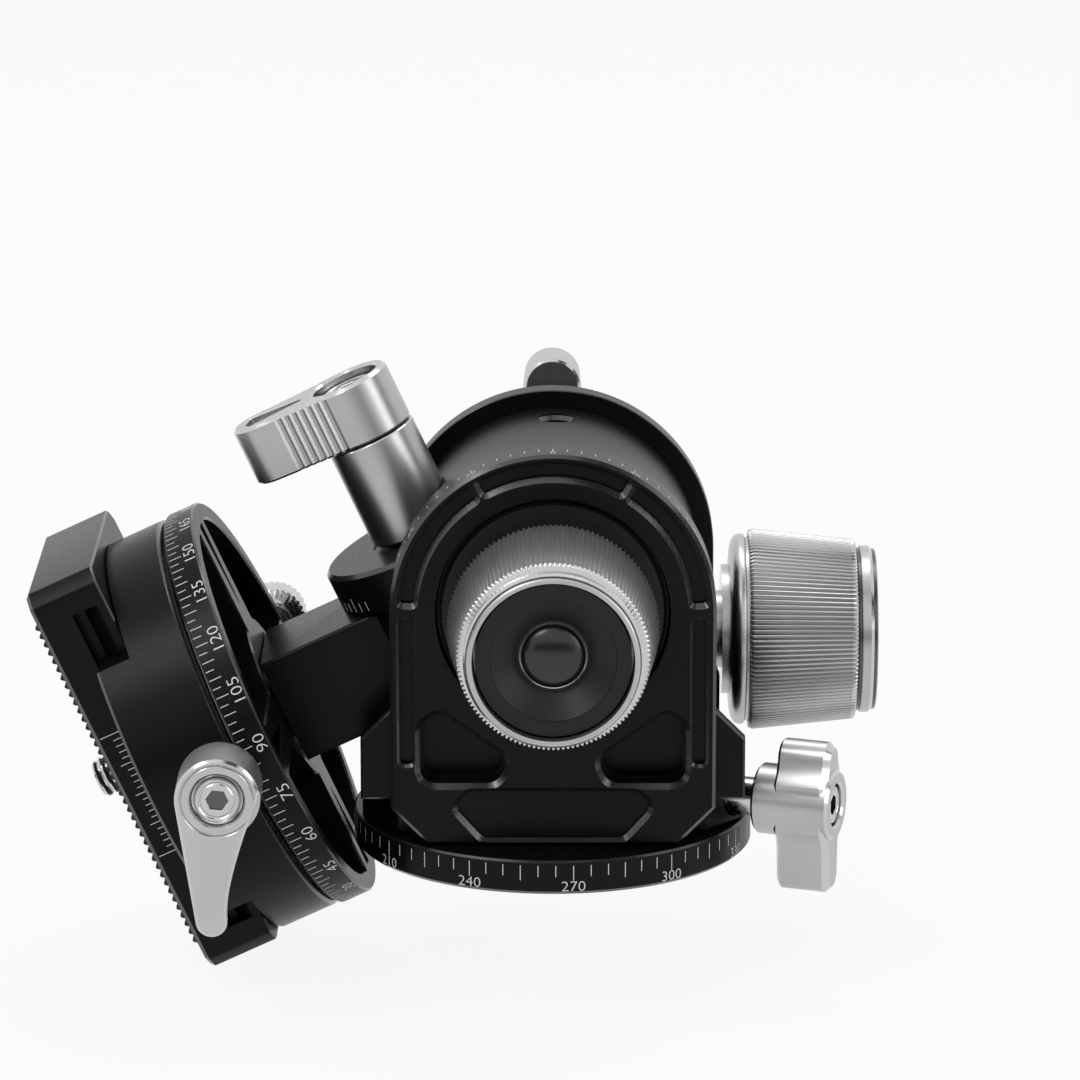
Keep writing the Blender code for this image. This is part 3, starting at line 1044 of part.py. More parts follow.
def make_clamp():
    """The panning clamp with its fixed front jaw and sliding rear jaw."""
    turned("clamp_bearing", [
        (BEARING_INNER_RADIUS, SCALE_PLATE_TOP + BEARING_THICKNESS + RUNNING_GAP * 2),
        (BEARING_OUTER_RADIUS, SCALE_PLATE_TOP + BEARING_THICKNESS + RUNNING_GAP * 2),
        (BEARING_OUTER_RADIUS, SCALE_PLATE_TOP + RUNNING_GAP * 2),
        (BEARING_INNER_RADIUS, SCALE_PLATE_TOP + RUNNING_GAP * 2),
    ], "nylon", roll_axis, closed=True)
    edge = SEAT_GAP * 1.5
    body = turned("clamp_body", clamp_profile(edge), "black", roll_axis)
    jaw = turned("clamp_jaw", clamp_profile(edge), "black", roll_axis)
    right, neck, wide = plate_profile(SEAT_GAP)
    above = CLAMP_LIP + OVERRUN
    channel = right + [(neck, above)] + mirrored(right + [(neck, above)])
    reach = CLAMP_RADIUS + OVERRUN
    channel_cut = plate("channel_cut", channel, -reach, reach, parent=roll_axis,
                        rotation=SECTION)
    for name, side in (("upper_end_cut", 1.0), ("lower_end_cut", -1.0)):
        near = CLAMP_JAW_HALF_LENGTH
        far = reach
        low = (min(side * near, side * far), -reach, CLAMP_FLOOR)
        high = (max(side * near, side * far), reach, above)
        end_cut = block(name, low, high, parent=roll_axis)
        cut(body, end_cut)
        cut(jaw, end_cut)
    cut(body, channel_cut)
    cut(jaw, channel_cut)
    cut(body, block("jaw_room_cut", (-reach, JAW_SPLIT - SEAT_GAP, CLAMP_BOTTOM - OVERRUN),
                    (reach, reach, above), parent=roll_axis))
    cut(jaw, block("body_room_cut", (-reach, -reach, CLAMP_BOTTOM - OVERRUN),
                   (reach, JAW_SPLIT, above), parent=roll_axis))
    pivot_top = CLAMP_FLOOR - SEAT_GAP
    cut(body, rod("pivot_seat_cut", PIVOT_RADIUS + SEAT_GAP, CLAMP_BOTTOM - OVERRUN,
                  CLAMP_FLOOR + OVERRUN, parent=roll_axis))
    cam_hole = rod("cam_bolt_cut", CAM_BOLT_RADIUS + SEAT_GAP, -CLAMP_RADIUS - OVERRUN,
                   JAW_SPLIT + OVERRUN, parent=cam_axis, rotation=ALONG_Y)
    jaw_end = CLAMP_RADIUS - OVERRUN * 4
    jaw_hole = rod("cam_thread_cut", CAM_BOLT_RADIUS + SEAT_GAP, JAW_SPLIT - OVERRUN,
                   jaw_end + SEAT_GAP, parent=cam_axis, rotation=ALONG_Y)
    cut(body, cam_hole)
    cut(jaw, jaw_hole)
    head_top = SCALE_PLATE_BOTTOM - SEAT_GAP * 2
    pivot = rod("clamp_pivot_bolt", PIVOT_RADIUS, head_top - OVERRUN, pivot_top, "steel",
                roll_axis)
    fuse(pivot, rod("pivot_head", PIVOT_HEAD_RADIUS, head_top - PIVOT_HEAD_HEIGHT,
                    head_top, parent=roll_axis))
    cut(pivot, cam_hole)
    for name, x in (("lower_guide_pin", -GUIDE_PIN_X), ("upper_guide_pin", GUIDE_PIN_X)):
        where = (x, 0.0, 0.0)
        rod(name, GUIDE_PIN_RADIUS, JAW_SPLIT - GUIDE_PIN_REACH,
            JAW_SPLIT + GUIDE_PIN_DEPTH, "steel", cam_axis, where, ALONG_Y, TINY_SIDES)
        pin_cut = rod("guide_pin_cut", GUIDE_PIN_RADIUS + SEAT_GAP,
                      JAW_SPLIT - GUIDE_PIN_REACH - SEAT_GAP,
                      JAW_SPLIT + GUIDE_PIN_DEPTH + SEAT_GAP, parent=cam_axis,
                      location=where, rotation=ALONG_Y, sides=TINY_SIDES)
        cut(body, pin_cut)
        cut(jaw, pin_cut)
    rod("cam_bolt", CAM_BOLT_RADIUS, CAM_FACE + CAM_SCREW_SEAT, jaw_end, "steel",
        cam_axis, rotation=ALONG_Y)
    return body, jaw


def clamp_profile(edge):
    """The clamp's turned outline, with small chamfers."""
    return [
        (0.0, CLAMP_LIP),
        (CLAMP_RADIUS - edge, CLAMP_LIP),
        (CLAMP_RADIUS, CLAMP_LIP - edge),
        (CLAMP_RADIUS, CLAMP_BOTTOM + edge),
        (CLAMP_RADIUS - edge, CLAMP_BOTTOM),
        (0.0, CLAMP_BOTTOM),
    ]


# How far the cam bolt's end lies behind the lever's face
CAM_SCREW_SEAT = 0.0035


def make_cam_lever():
    """The clamp's lever: a round boss that runs out into a slim tapered arm."""
    reach = math.hypot(CAM_TIP_X, CAM_TIP_Z)
    direction = math.atan2(CAM_TIP_Z, CAM_TIP_X)
    side = math.asin((CAM_BOSS_RADIUS - CAM_TIP_RADIUS) / reach)
    spread = math.pi / 2 - side
    tip_centre = (CAM_TIP_X, CAM_TIP_Z)
    points = arc(CAM_TIP_RADIUS, direction - spread, direction + spread, 6, tip_centre)
    waist = direction + spread + math.radians(25.0)
    middle = CAM_WAIST_SHARE
    points.append((CAM_TIP_X * middle - CAM_WAIST_OFFSET * math.sin(direction),
                   CAM_TIP_Z * middle + CAM_WAIST_OFFSET * math.cos(direction)))
    points += arc(CAM_BOSS_RADIUS, waist, direction + 2 * math.pi - spread,
                  SMALL_SIDES - 6)
    flat = plate("cam_lever", points, -CAM_FACE - CAM_ARM_THICKNESS, -CAM_FACE, "silver",
                 cam_axis, rotation=TOWARD_VIEWER, edge=LEVER_EDGE * 0.5)
    boss = rod("cam_boss", CAM_BOSS_RADIUS, -CAM_BOSS_BACK,
               -CAM_FACE - CAM_ARM_THICKNESS * 0.5, parent=cam_axis,
               rotation=TOWARD_VIEWER)
    fuse(flat, boss)
    cut(flat, rod("cam_recess_cut", CAM_RING_RADIUS, -CAM_FACE - CAM_RING_DEPTH,
                  -CAM_FACE + OVERRUN, parent=cam_axis, rotation=TOWARD_VIEWER))
    cut(flat, rod("cam_bore_cut", CAM_BOLT_RADIUS + SEAT_GAP, -CAM_BOSS_BACK - OVERRUN,
                  -CAM_FACE + OVERRUN, parent=cam_axis, rotation=TOWARD_VIEWER))
    low = -CAM_FACE - CAM_RING_DEPTH + SEAT_GAP
    screw = rod("cam_screw", CAM_SCREW_RADIUS, low, -CAM_FACE - SEAT_GAP, "steel",
                cam_axis, rotation=TOWARD_VIEWER)
    cut(screw, rod("cam_hex_cut", HEX_RADIUS, -CAM_FACE - SEAT_GAP - HEX_DEPTH * 0.5,
                   -CAM_FACE + OVERRUN, parent=cam_axis, rotation=TOWARD_VIEWER, sides=6))
    return flat


# The waist of the clamp lever's arm, on its concave side
CAM_WAIST_SHARE = 0.62
CAM_WAIST_OFFSET = 0.0029


def make_plate():
    """The quick-release plate, its grip strips and the camera screw."""
    half = [(PLATE_HALF_WIDTH, PLATE_LOW), (PLATE_HALF_WIDTH, PLATE_TOP - PLATE_EDGE),
            (PLATE_HALF_WIDTH - PLATE_EDGE, PLATE_TOP)]
    body = plate("release_plate", half + mirrored(half), PLATE_START, PLATE_END, "black",
                 roll_axis, rotation=SECTION)
    slope = PLATE_HALF_WIDTH - PLATE_NECK_HALF_WIDTH
    outside = PLATE_HALF_WIDTH + OVERRUN
    notch = [(outside, PLATE_FLANGE_TOP), (outside, PLATE_SHOULDER),
             (PLATE_NECK_HALF_WIDTH, PLATE_SHOULDER),
             (PLATE_NECK_HALF_WIDTH, PLATE_FLANGE_TOP + slope),
             (PLATE_HALF_WIDTH, PLATE_FLANGE_TOP)]
    for outline in (notch, mirrored(notch)):
        cut(body, plate("dovetail_cut", outline, PLATE_START + PLATE_LUG_LENGTH,
                        PLATE_END - PLATE_LUG_LENGTH, parent=roll_axis, rotation=SECTION))
    for x, beyond_x in ((PLATE_START, -OVERRUN), (PLATE_END, OVERRUN)):
        inner_x = x - math.copysign(PLATE_CORNER, beyond_x)
        for y, beyond_y in ((-PLATE_HALF_WIDTH, -OVERRUN), (PLATE_HALF_WIDTH, OVERRUN)):
            inner_y = y - math.copysign(PLATE_CORNER, beyond_y)
            corner = [(inner_x, y + beyond_y), (x + beyond_x, y + beyond_y),
                      (x + beyond_x, inner_y)]
            cut(body, plate("plate_corner_cut", corner, PLATE_LOW - OVERRUN,
                            PLATE_TOP + OVERRUN, parent=roll_axis))
    head_low = PLATE_LOW + SEAT_GAP * 2
    head_top = head_low + CAMERA_SCREW_HEAD_HEIGHT
    cut(body, rod("camera_hole_cut", CAMERA_SCREW_RADIUS + SEAT_GAP,
                  PLATE_LOW - OVERRUN, PLATE_TOP + OVERRUN, parent=roll_axis))
    cut(body, rod("camera_head_cut", CAMERA_SCREW_HEAD_RADIUS + SEAT_GAP,
                  PLATE_LOW - OVERRUN, head_top + SEAT_GAP, parent=roll_axis))
    screw = rod("camera_screw", CAMERA_SCREW_RADIUS, head_low, CAMERA_SCREW_TOP, "steel",
                roll_axis)
    fuse(screw, rod("camera_screw_head", CAMERA_SCREW_HEAD_RADIUS, head_low, head_top,
                    parent=roll_axis))
    length = PLATE_END - PLATE_START - STRIP_MARGIN * 2
    teeth = int(length / STRIP_PITCH)
    start = (PLATE_START + PLATE_END - teeth * STRIP_PITCH) / 2
    low = PLATE_TOP - STRIP_DEPTH
    for name, y in (("front_grip_strip", -STRIP_Y), ("rear_grip_strip", STRIP_Y)):
        zigzag = [(start, low + SEAT_GAP), (start + teeth * STRIP_PITCH, low + SEAT_GAP)]
        for index in range(teeth, 0, -1):
            x = start + index * STRIP_PITCH
            zigzag += [(x, PLATE_TOP), (x - STRIP_PITCH / 2, PLATE_TOP + STRIP_RISE)]
        zigzag.append((start, PLATE_TOP))
        cut(body, block(name + "_cut",
                        (start - SEAT_GAP, y - STRIP_HALF_WIDTH - SEAT_GAP, low),
                        (start + teeth * STRIP_PITCH + SEAT_GAP,
                         y + STRIP_HALF_WIDTH + SEAT_GAP, PLATE_TOP + OVERRUN),
                        parent=roll_axis))
        plate(name, zigzag, -y - STRIP_HALF_WIDTH, -y + STRIP_HALF_WIDTH, "rubber",
              roll_axis, rotation=TOWARD_VIEWER)
    return body


make_base()
make_frame()
make_roll_drive()
make_drum()
make_pitch_drive()
make_levers()
make_pan_lock()
make_arm()
make_clamp()
make_cam_lever()
make_plate()
bpy.context.view_layer.update()
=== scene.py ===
"""Looks of the geared tripod head: fine shapes, finishes, dial marks, light and camera.

Lengths are in millimetres in a piece's own frame, and a mesh is placed in metres.
"""
import math

import bmesh
import bpy
from mathutils import Matrix, Vector


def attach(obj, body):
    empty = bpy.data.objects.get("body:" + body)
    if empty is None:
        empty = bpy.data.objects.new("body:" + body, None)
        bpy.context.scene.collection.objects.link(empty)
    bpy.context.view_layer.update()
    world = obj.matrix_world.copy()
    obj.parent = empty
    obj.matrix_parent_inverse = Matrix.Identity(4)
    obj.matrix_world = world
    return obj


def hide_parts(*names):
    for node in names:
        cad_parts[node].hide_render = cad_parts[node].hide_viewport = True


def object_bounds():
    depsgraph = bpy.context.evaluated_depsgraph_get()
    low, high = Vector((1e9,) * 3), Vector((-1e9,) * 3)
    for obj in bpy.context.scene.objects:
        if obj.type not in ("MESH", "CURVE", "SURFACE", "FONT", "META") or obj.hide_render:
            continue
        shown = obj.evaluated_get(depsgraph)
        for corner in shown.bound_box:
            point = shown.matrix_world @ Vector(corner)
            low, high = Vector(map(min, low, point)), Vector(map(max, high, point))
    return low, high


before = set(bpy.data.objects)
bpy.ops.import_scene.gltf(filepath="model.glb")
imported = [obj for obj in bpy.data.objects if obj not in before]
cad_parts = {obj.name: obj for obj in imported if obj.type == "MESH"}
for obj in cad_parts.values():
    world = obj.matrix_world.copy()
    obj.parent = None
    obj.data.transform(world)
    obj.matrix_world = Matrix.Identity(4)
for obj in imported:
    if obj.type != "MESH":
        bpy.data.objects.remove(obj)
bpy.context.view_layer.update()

MM = 0.001

# The axes of the model
ROLL_HEIGHT = 40.7
REST_TILT = 115.0
PITCH_OFFSET = 15.5
SIDE_KNOB_Y = 26.0
PAN_LOCK_AZIMUTH = -20.0
PAN_LOCK_Z = 9.3
CAM_HEIGHT = 53.5
CLAMP_LOCK_X = 3.0
CLAMP_LOCK_Z = 46.7

# Steps of curved outlines
TURN_STEPS = 128
FINE_STEPS = 2 * TURN_STEPS
SMALL_STEPS = 64
ARC_STEPS = 10

# Clearances, cutter overruns and the usual edge breaks
GAP = 0.3
OVER = 1.0
FINE_EDGE = 0.15
SMALL_EDGE = 0.3
EDGE = 0.45


def turn(degrees, axis):
    """A rotation about one axis."""
    return Matrix.Rotation(math.radians(degrees), 4, axis)


WORLD = Matrix.Identity(4)
ROLL = Matrix.Translation((0.0, 0.0, ROLL_HEIGHT))
HEAD = ROLL @ turn(-REST_TILT, "Y")
PITCH = HEAD @ Matrix.Translation((0.0, 0.0, PITCH_OFFSET))
CAM = HEAD @ Matrix.Translation((0.0, 0.0, CAM_HEIGHT))
CLAMP_LOCK = HEAD @ Matrix.Translation((CLAMP_LOCK_X, 0.0, CLAMP_LOCK_Z))
PAN_LOCK = Matrix.Translation((0.0, 0.0, PAN_LOCK_Z)) @ turn(PAN_LOCK_AZIMUTH, "Z")
SIDE_KNOB = Matrix.Translation((0.0, SIDE_KNOB_Y, ROLL_HEIGHT - PITCH_OFFSET))
# Own Z toward the viewer, own Y up
FRONT = turn(90.0, "X")
# Own Z along X, own X up
ACROSS = Matrix(((0, 0, 1, 0), (0, -1, 0, 0), (1, 0, 0, 0), (0, 0, 0, 1)))
# Own Z along Y, own X up
BACKWARD = Matrix(((0, 1, 0, 0), (0, 0, 1, 0), (1, 0, 0, 0), (0, 0, 0, 1)))
# Own Z along X, own X along Y, own Y up
SECTION = Matrix(((0, 0, 1, 0), (1, 0, 0, 0), (0, 1, 0, 0), (0, 0, 0, 1)))


def extent(node, place):
    """A CAD node's lowest and highest corner in a frame, in millimetres."""
    inverse = (Matrix.Scale(MM, 4) @ place).inverted()
    corners = [inverse @ vertex.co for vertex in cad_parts[node].data.vertices]
    columns = list(zip(*corners))
    return Vector(map(min, columns)), Vector(map(max, columns))


# Finishes

FINE_DETAIL = 3.0
BROAD_SCALE = 90.0
BROAD_DETAIL = 4.0
NOISE_LOW = 0.3
NOISE_HIGH = 0.7
LEAST_ROUGHNESS = 0.02
BUMP_DEPTH = 0.0001


def with_inputs(node, values):
    """A shader node with some of its inputs set."""
    for name, value in values.items():
        node.inputs[name].default_value = value
    return node


def new_material(name, values):
    """A node material, and its shader with some inputs set."""
    made = bpy.data.materials.new(name)
    made.use_nodes = True
    return made, with_inputs(made.node_tree.nodes["Principled BSDF"], values)


def finish(name, colour, roughness, metallic=0.0, grain=2500.0, relief=0.05, tone=0.15,
           spread=0.06, lines=None, specular=0.5):
    """A procedural finish: fine grain, a broad change of tone and uneven gloss.

    With lines, the grain is drawn out into turning or brushing marks.
    """
    made, shader = new_material(name, {"Metallic": metallic, "Specular IOR Level": specular})
    nodes = made.node_tree.nodes
    link = made.node_tree.links.new
    place = nodes.new("ShaderNodeTexCoord")
    source = place.outputs["Object"]
    if lines is not None:
        stretch = with_inputs(nodes.new("ShaderNodeMapping"), {"Scale": lines})
        link(place.outputs["UV"], stretch.inputs["Vector"])
        source = stretch.outputs["Vector"]
    fine = with_inputs(nodes.new("ShaderNodeTexNoise"), {
        "Scale": 1.0 if lines is not None else grain, "Detail": FINE_DETAIL})
    link(source, fine.inputs["Vector"])
    broad = with_inputs(nodes.new("ShaderNodeTexNoise"), {
        "Scale": BROAD_SCALE, "Detail": BROAD_DETAIL})
    link(place.outputs["Object"], broad.inputs["Vector"])
    colours = nodes.new("ShaderNodeValToRGB")
    low, high = colours.color_ramp.elements
    for stop, position, level in ((low, NOISE_LOW, 1.0 - tone), (high, NOISE_HIGH, 1.0 + tone)):
        stop.position = position
        stop.color = (*(part * level for part in colour), 1.0)
    link(broad.outputs["Fac"], colours.inputs["Fac"])
    link(colours.outputs["Color"], shader.inputs["Base Color"])
    gloss = with_inputs(nodes.new("ShaderNodeMapRange"), {
        "From Min": NOISE_LOW, "From Max": NOISE_HIGH,
        "To Min": max(roughness - spread, LEAST_ROUGHNESS), "To Max": roughness + spread})
    link(fine.outputs["Fac"], gloss.inputs["Value"])
    link(gloss.outputs["Result"], shader.inputs["Roughness"])
    bump = with_inputs(nodes.new("ShaderNodeBump"), {"Strength": relief, "Distance": BUMP_DEPTH})
    link(fine.outputs["Fac"], bump.inputs["Height"])
    link(bump.outputs["Normal"], shader.inputs["Normal"])
    return made


def metal(name, level, roughness, **values):
    """A bare metal finish of one grey level, a little cool."""
    return finish(name, (level, level, level + 0.01), roughness, metallic=1.0, **values)


TURNED_LINES = (2.0, 9.0, 1.0)
ANODISED = finish("black_anodised", (0.004, 0.004, 0.0045), 0.31, relief=0.06, grain=3500.0,
                  specular=0.13)
BLACK_EDGE = finish("black_edge", (0.012, 0.012, 0.013), 0.22, relief=0.03, specular=0.9)
MATTE = finish("matte_black", (0.014, 0.014, 0.015), 0.42, lines=TURNED_LINES, specular=0.25)
GLOSSY = finish("glossy_black", (0.004, 0.004, 0.0045), 0.24, relief=0.0, spread=0.02, specular=0.6)
SATIN = metal("satin_silver", 0.45, 0.32, tone=0.05, relief=0.02, spread=0.025)
TURNED = metal("turned_silver", 0.50, 0.24, tone=0.05, relief=0.04, spread=0.05, lines=TURNED_LINES)
KNURLED = metal("knurled_silver", 0.47, 0.32, tone=0.05, relief=0.03, spread=0.05)
BLASTED = metal("blasted_silver", 0.56, 0.44, tone=0.05, relief=0.06, grain=4000.0)
POLISHED = metal("polished_edge", 0.56, 0.18, tone=0.03, relief=0.02)
STEEL = metal("steel", 0.55, 0.20, tone=0.08, lines=TURNED_LINES)
PLAIN_STEEL = metal("plain_steel", 0.50, 0.24, tone=0.08, relief=0.06)
# Painted shade: a darker grey put on the floors and walls of sockets and grooves, where shade falls
RECESS_SHADE = finish("painted_recess_shade", (0.12, 0.12, 0.125), 0.30, metallic=1.0)
BRASS = finish("brass", (0.66, 0.47, 0.20), 0.30, metallic=1.0, tone=0.10, relief=0.08)
NYLON = finish("nylon", (0.74, 0.72, 0.66), 0.50)
RUBBER = finish("grip_rubber", (0.050, 0.036, 0.027), 0.80, tone=0.5, relief=0.6,
                grain=1800.0, specular=0.3)
CORK = finish("grip_tips", (0.30, 0.19, 0.11), 0.80, tone=0.6, relief=0.6, grain=1800.0, specular=0.3)
PAINT = finish("white_marks", (0.78, 0.78, 0.76), 0.55, tone=0.08, relief=0.1)

BLACK = [ANODISED, BLACK_EDGE]
SILVER = [SATIN, POLISHED]


# Meshes

CREASE = 30.0
CORNER_SHARE = 0.45
LEAST_SPREAD = 0.4


def add_object(name, data):
    """A new object in the scene."""
    made = bpy.data.objects.new(name, data)
    bpy.context.scene.collection.objects.link(made)
    return made


def mesh_object(name, shape, finishes):
    """A new object whose mesh is a bmesh, which is used up."""
    mesh = bpy.data.meshes.new(name)
    shape.to_mesh(mesh)
    shape.free()
    for each in finishes:
        mesh.materials.append(each)
    return add_object(name, mesh)


def shade(made):
    """Smooth shading with creases at real edges."""
    made.data.shade_smooth()
    made.data.set_sharp_from_angle(angle=math.radians(CREASE))


def settle(name, shape, place, finishes):
    """A placed object from a bmesh in millimetres."""
    bmesh.ops.recalc_face_normals(shape, faces=shape.faces)
    if shape.calc_volume(signed=True) < 0.0:
        bmesh.ops.reverse_faces(shape, faces=shape.faces)
    bmesh.ops.triangulate(shape, faces=[face for face in shape.faces if len(face.verts) > 4])
    made = mesh_object(name, shape, finishes)
    made.data.transform(Matrix.Scale(MM, 4) @ place)
    shade(made)
    return made


def finish_index(point):
    """The finish that a point or level picks for what follows it, else the first."""
    return point[2] if len(point) > 2 else 0


def turned(name, profile, place, finishes, steps=TURN_STEPS, ring=False, waved=None):
    """A profile of (radius, height) points turned about the piece's own Z.

    A third value picks the finish from that point to the next. A ring's profile is
    closed. The function waved gives a point its radius at an angle.
    """
    shape = bmesh.new()
    layer = shape.loops.layers.uv.new("UVMap")
    rings = []
    for point in profile:
        radius, height = point[:2]
        if radius == 0.0:
            rings.append([shape.verts.new((0.0, 0.0, height))] * steps)
            continue
        made = []
        for step in range(steps):
            angle = 2 * math.pi * step / steps
            real = radius if waved is None else waved(radius, height, angle)
            made.append(shape.verts.new((real * math.cos(angle), real * math.sin(angle), height)))
        rings.append(made)
    count = len(profile)
    travelled = 0.0
    for index in range(count if ring else count - 1):
        start = profile[index]
        end = profile[(index + 1) % count]
        length = math.dist(start[:2], end[:2])
        first = rings[index]
        second = rings[(index + 1) % count]
        for step in range(steps):
            after = (step + 1) % steps
            corners = {}
            for vertex, across, along in ((first[step], step, 0.0),
                                          (second[step], step, length),
                                          (second[after], step + 1, length),
                                          (first[after], step + 1, 0.0)):
                corners.setdefault(vertex, (across / steps, travelled + along))
            face = shape.faces.new(list(corners))
            face.material_index = finish_index(start)
            for loop, where in zip(face.loops, corners.values()):
                loop[layer].uv = where
        travelled += length
    return settle(name, shape, place, finishes)


def rod(radius, low, high, low_edge=EDGE, high_edge=EDGE):
    """The profile of a round rod, from its high end to its low end."""
    points = [(0.0, high), (radius - high_edge, high, 1), (radius, high - high_edge),
              (radius, low + low_edge, 1), (radius - low_edge, low), (0.0, low)]
    if not low_edge:
        del points[3]
    if not high_edge:
        del points[1]
    return points


def raised(points, height):
    """Profile points moved along the axis."""
    return [(point[0], point[1] + height, *point[2:]) for point in points]


def polar(radius, degrees):
    """A point at a distance and an angle."""
    angle = math.radians(degrees)
    return radius * math.cos(angle), radius * math.sin(angle)


def arc(radius, start, end, steps=ARC_STEPS, centre=(0.0, 0.0)):
    """Points along an arc, with its angles in degrees."""
    points = []
    for index in range(steps + 1):
        x, y = polar(radius, start + (end - start) * index / steps)
        points.append((centre[0] + x, centre[1] + y))
    return points


def bend(start, control, end, steps):
    """Points of a soft bend from start to end, drawn toward the control point."""
    points = []
    for step in range(steps + 1):
        share = step / steps
        points.append(tuple(start * (1 - share) ** 2 + control * 2 * share * (1 - share)
                            + end * share ** 2))
    return points


def mirrored(points):
    """The same outline on the other side of its own Y axis."""
    return [(-x, y) for x, y in reversed(points)]


def rounded(points, radius, steps=5):
    """An outline with its corners rounded."""
    made = []
    count = len(points)
    for index in range(count):
        corner = Vector(points[index])
        before = Vector(points[index - 1]) - corner
        after = Vector(points[(index + 1) % count]) - corner
        half = before.angle(after) / 2
        reach = min(radius / math.tan(half), before.length * CORNER_SHARE, after.length * CORNER_SHARE)
        made += bend(corner + before.normalized() * reach, corner,
                     corner + after.normalized() * reach, steps)
    return made


def anticlockwise(outline):
    """The outline in anticlockwise order."""
    area = 0.0
    for index, second in enumerate(outline):
        first = outline[index - 1]
        area += first[0] * second[1] - second[0] * first[1]
    return list(outline) if area > 0 else list(reversed(outline))


def grown(outline, distance):
    """An anticlockwise outline moved outward by a distance."""
    count = len(outline)
    moved = []
    for index in range(count):
        here = Vector(outline[index])
        before = here - Vector(outline[index - 1])
        after = Vector(outline[(index + 1) % count]) - here
        first = Vector((before.y, -before.x)).normalized()
        second = Vector((after.y, -after.x)).normalized()
        reach = distance / max(1.0 + first.dot(second), LEAST_SPREAD)
        moved.append(tuple(here + (first + second) * reach))
    return moved


def slab(name, outline, levels, place, finishes):
    """An outline in own XY, swept through levels of (height, growth, finish)."""
    shape = bmesh.new()
    outline = anticlockwise(outline)
    rings = []
    for level in levels:
        rings.append([shape.verts.new((x, y, level[0])) for x, y in grown(outline, level[1])])
    count = len(outline)
    for index in range(len(levels) - 1):
        for side in range(count):
            after = (side + 1) % count
            face = shape.faces.new((rings[index][side], rings[index][after],
                                    rings[index + 1][after], rings[index + 1][side]))
            face.material_index = finish_index(levels[index])
    shape.faces.new(list(reversed(rings[0])))
    shape.faces.new(rings[-1])
    return settle(name, shape, place, finishes)


def levels_between(low, high, low_edge=SMALL_EDGE, high_edge=SMALL_EDGE):
    """Levels of a slab with both of its ends chamfered."""
    return [(low, -low_edge, 1), (low + low_edge, 0.0, 0), (high - high_edge, 0.0, 1),
            (high, -high_edge)]


def pocket(outline, floor, surface, edge, place, inside=0):
    """A cutter for a recess with a chamfered mouth, cut from above."""
    # Slot 2 is the painted recess shade; an inside of 2 puts it on the recess's floor and walls
    made = slab("cutter", outline,
                [(floor, 0.0, inside), (surface - edge, 0.0, 1), (surface, edge, 0),
                 (surface + OVER, edge)], place, [ANODISED, BLACK_EDGE, RECESS_SHADE])
    for face in made.data.polygons:
        if face.material_index == 0:
            face.material_index = inside
    return made


def hole(radius, low, high, place, edge=0.0, steps=SMALL_STEPS, low_edge=0.0):
    """A cutter for a round hole between two heights, with chamfered mouths.

    It runs over above the high end, and below a low end that has a chamfer.
    """
    profile = [(0.0, high + OVER), (radius + edge, high + OVER)]
    if edge:
        profile += [(radius + edge, high, 1), (radius, high - edge)]
    bottom = low
    if low_edge:
        profile += [(radius, low + low_edge, 1), (radius + low_edge, low)]
        bottom = low - OVER
    profile += [(radius + low_edge, bottom), (0.0, bottom)]
    return turned("cutter", profile, place, BLACK, steps)


def box(low, high, place):
    """A cutter between two corners."""
    outline = [(low[0], low[1]), (high[0], low[1]), (high[0], high[1]), (low[0], high[1])]
    return slab("cutter", outline, [(low[2], 0.0), (high[2], 0.0)], place, BLACK)


def shaped(made, others, operation="DIFFERENCE"):
    """Cuts the others away from a piece, or adds them to it, and drops them."""
    for other in others:
        boolean = made.modifiers.new("shape", "BOOLEAN")
        boolean.operation = operation
        boolean.solver = "MANIFOLD"
        boolean.object = other
    mesh = settled_mesh(made)
    made.modifiers.clear()
    made.data = mesh
    for other in others:
        bpy.data.objects.remove(other, do_unlink=True)
    shade(made)
    return made


def settled_mesh(made):
    """A mesh of an object as its modifiers or its curve leave it."""
    bpy.context.view_layer.update()
    graph = bpy.context.evaluated_depsgraph_get()
    return bpy.data.meshes.new_from_object(made.evaluated_get(graph))


def dress(made, body, slot=None, *nodes):
    """Ties a piece to its body, in place of CAD nodes."""
    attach(made, body)
    if nodes:
        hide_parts(*nodes)
    return made


# Functions that give a turned point its radius

RADIUS_STEP = 0.01


def helix(radius, depth, pitch):
    """Cuts a thread into the points of one radius."""
    def waved(point_radius, height, angle):
        if abs(point_radius - radius) > RADIUS_STEP:
            return point_radius
        share = (height / pitch - angle / (2 * math.pi)) % 1.0
        return radius - depth * abs(2 * share - 1)
    return waved


def thread_points(radius, start, end, count=48):
    """Close profile points along a thread."""
    return [(radius, start + (end - start) * index / count) for index in range(count + 1)]


def ribbed(outer, ribs, depth):
    """Cuts fine ribs into the points of the outer radius."""
    def waved(radius, height, angle):
        if radius < outer - RADIUS_STEP:
            return radius
        return radius - depth * (0.5 + 0.5 * math.cos(ribs * angle))
    return waved


# Dial marks

MARK_WIDTH = 0.12
MARK_RISE = 0.02
MARK_DEPTH = 0.03
MARK_WELD = 0.0005
LETTER_STRETCH = 1.12
LETTER_THINNING = -0.012
LETTER_STEPS = 3


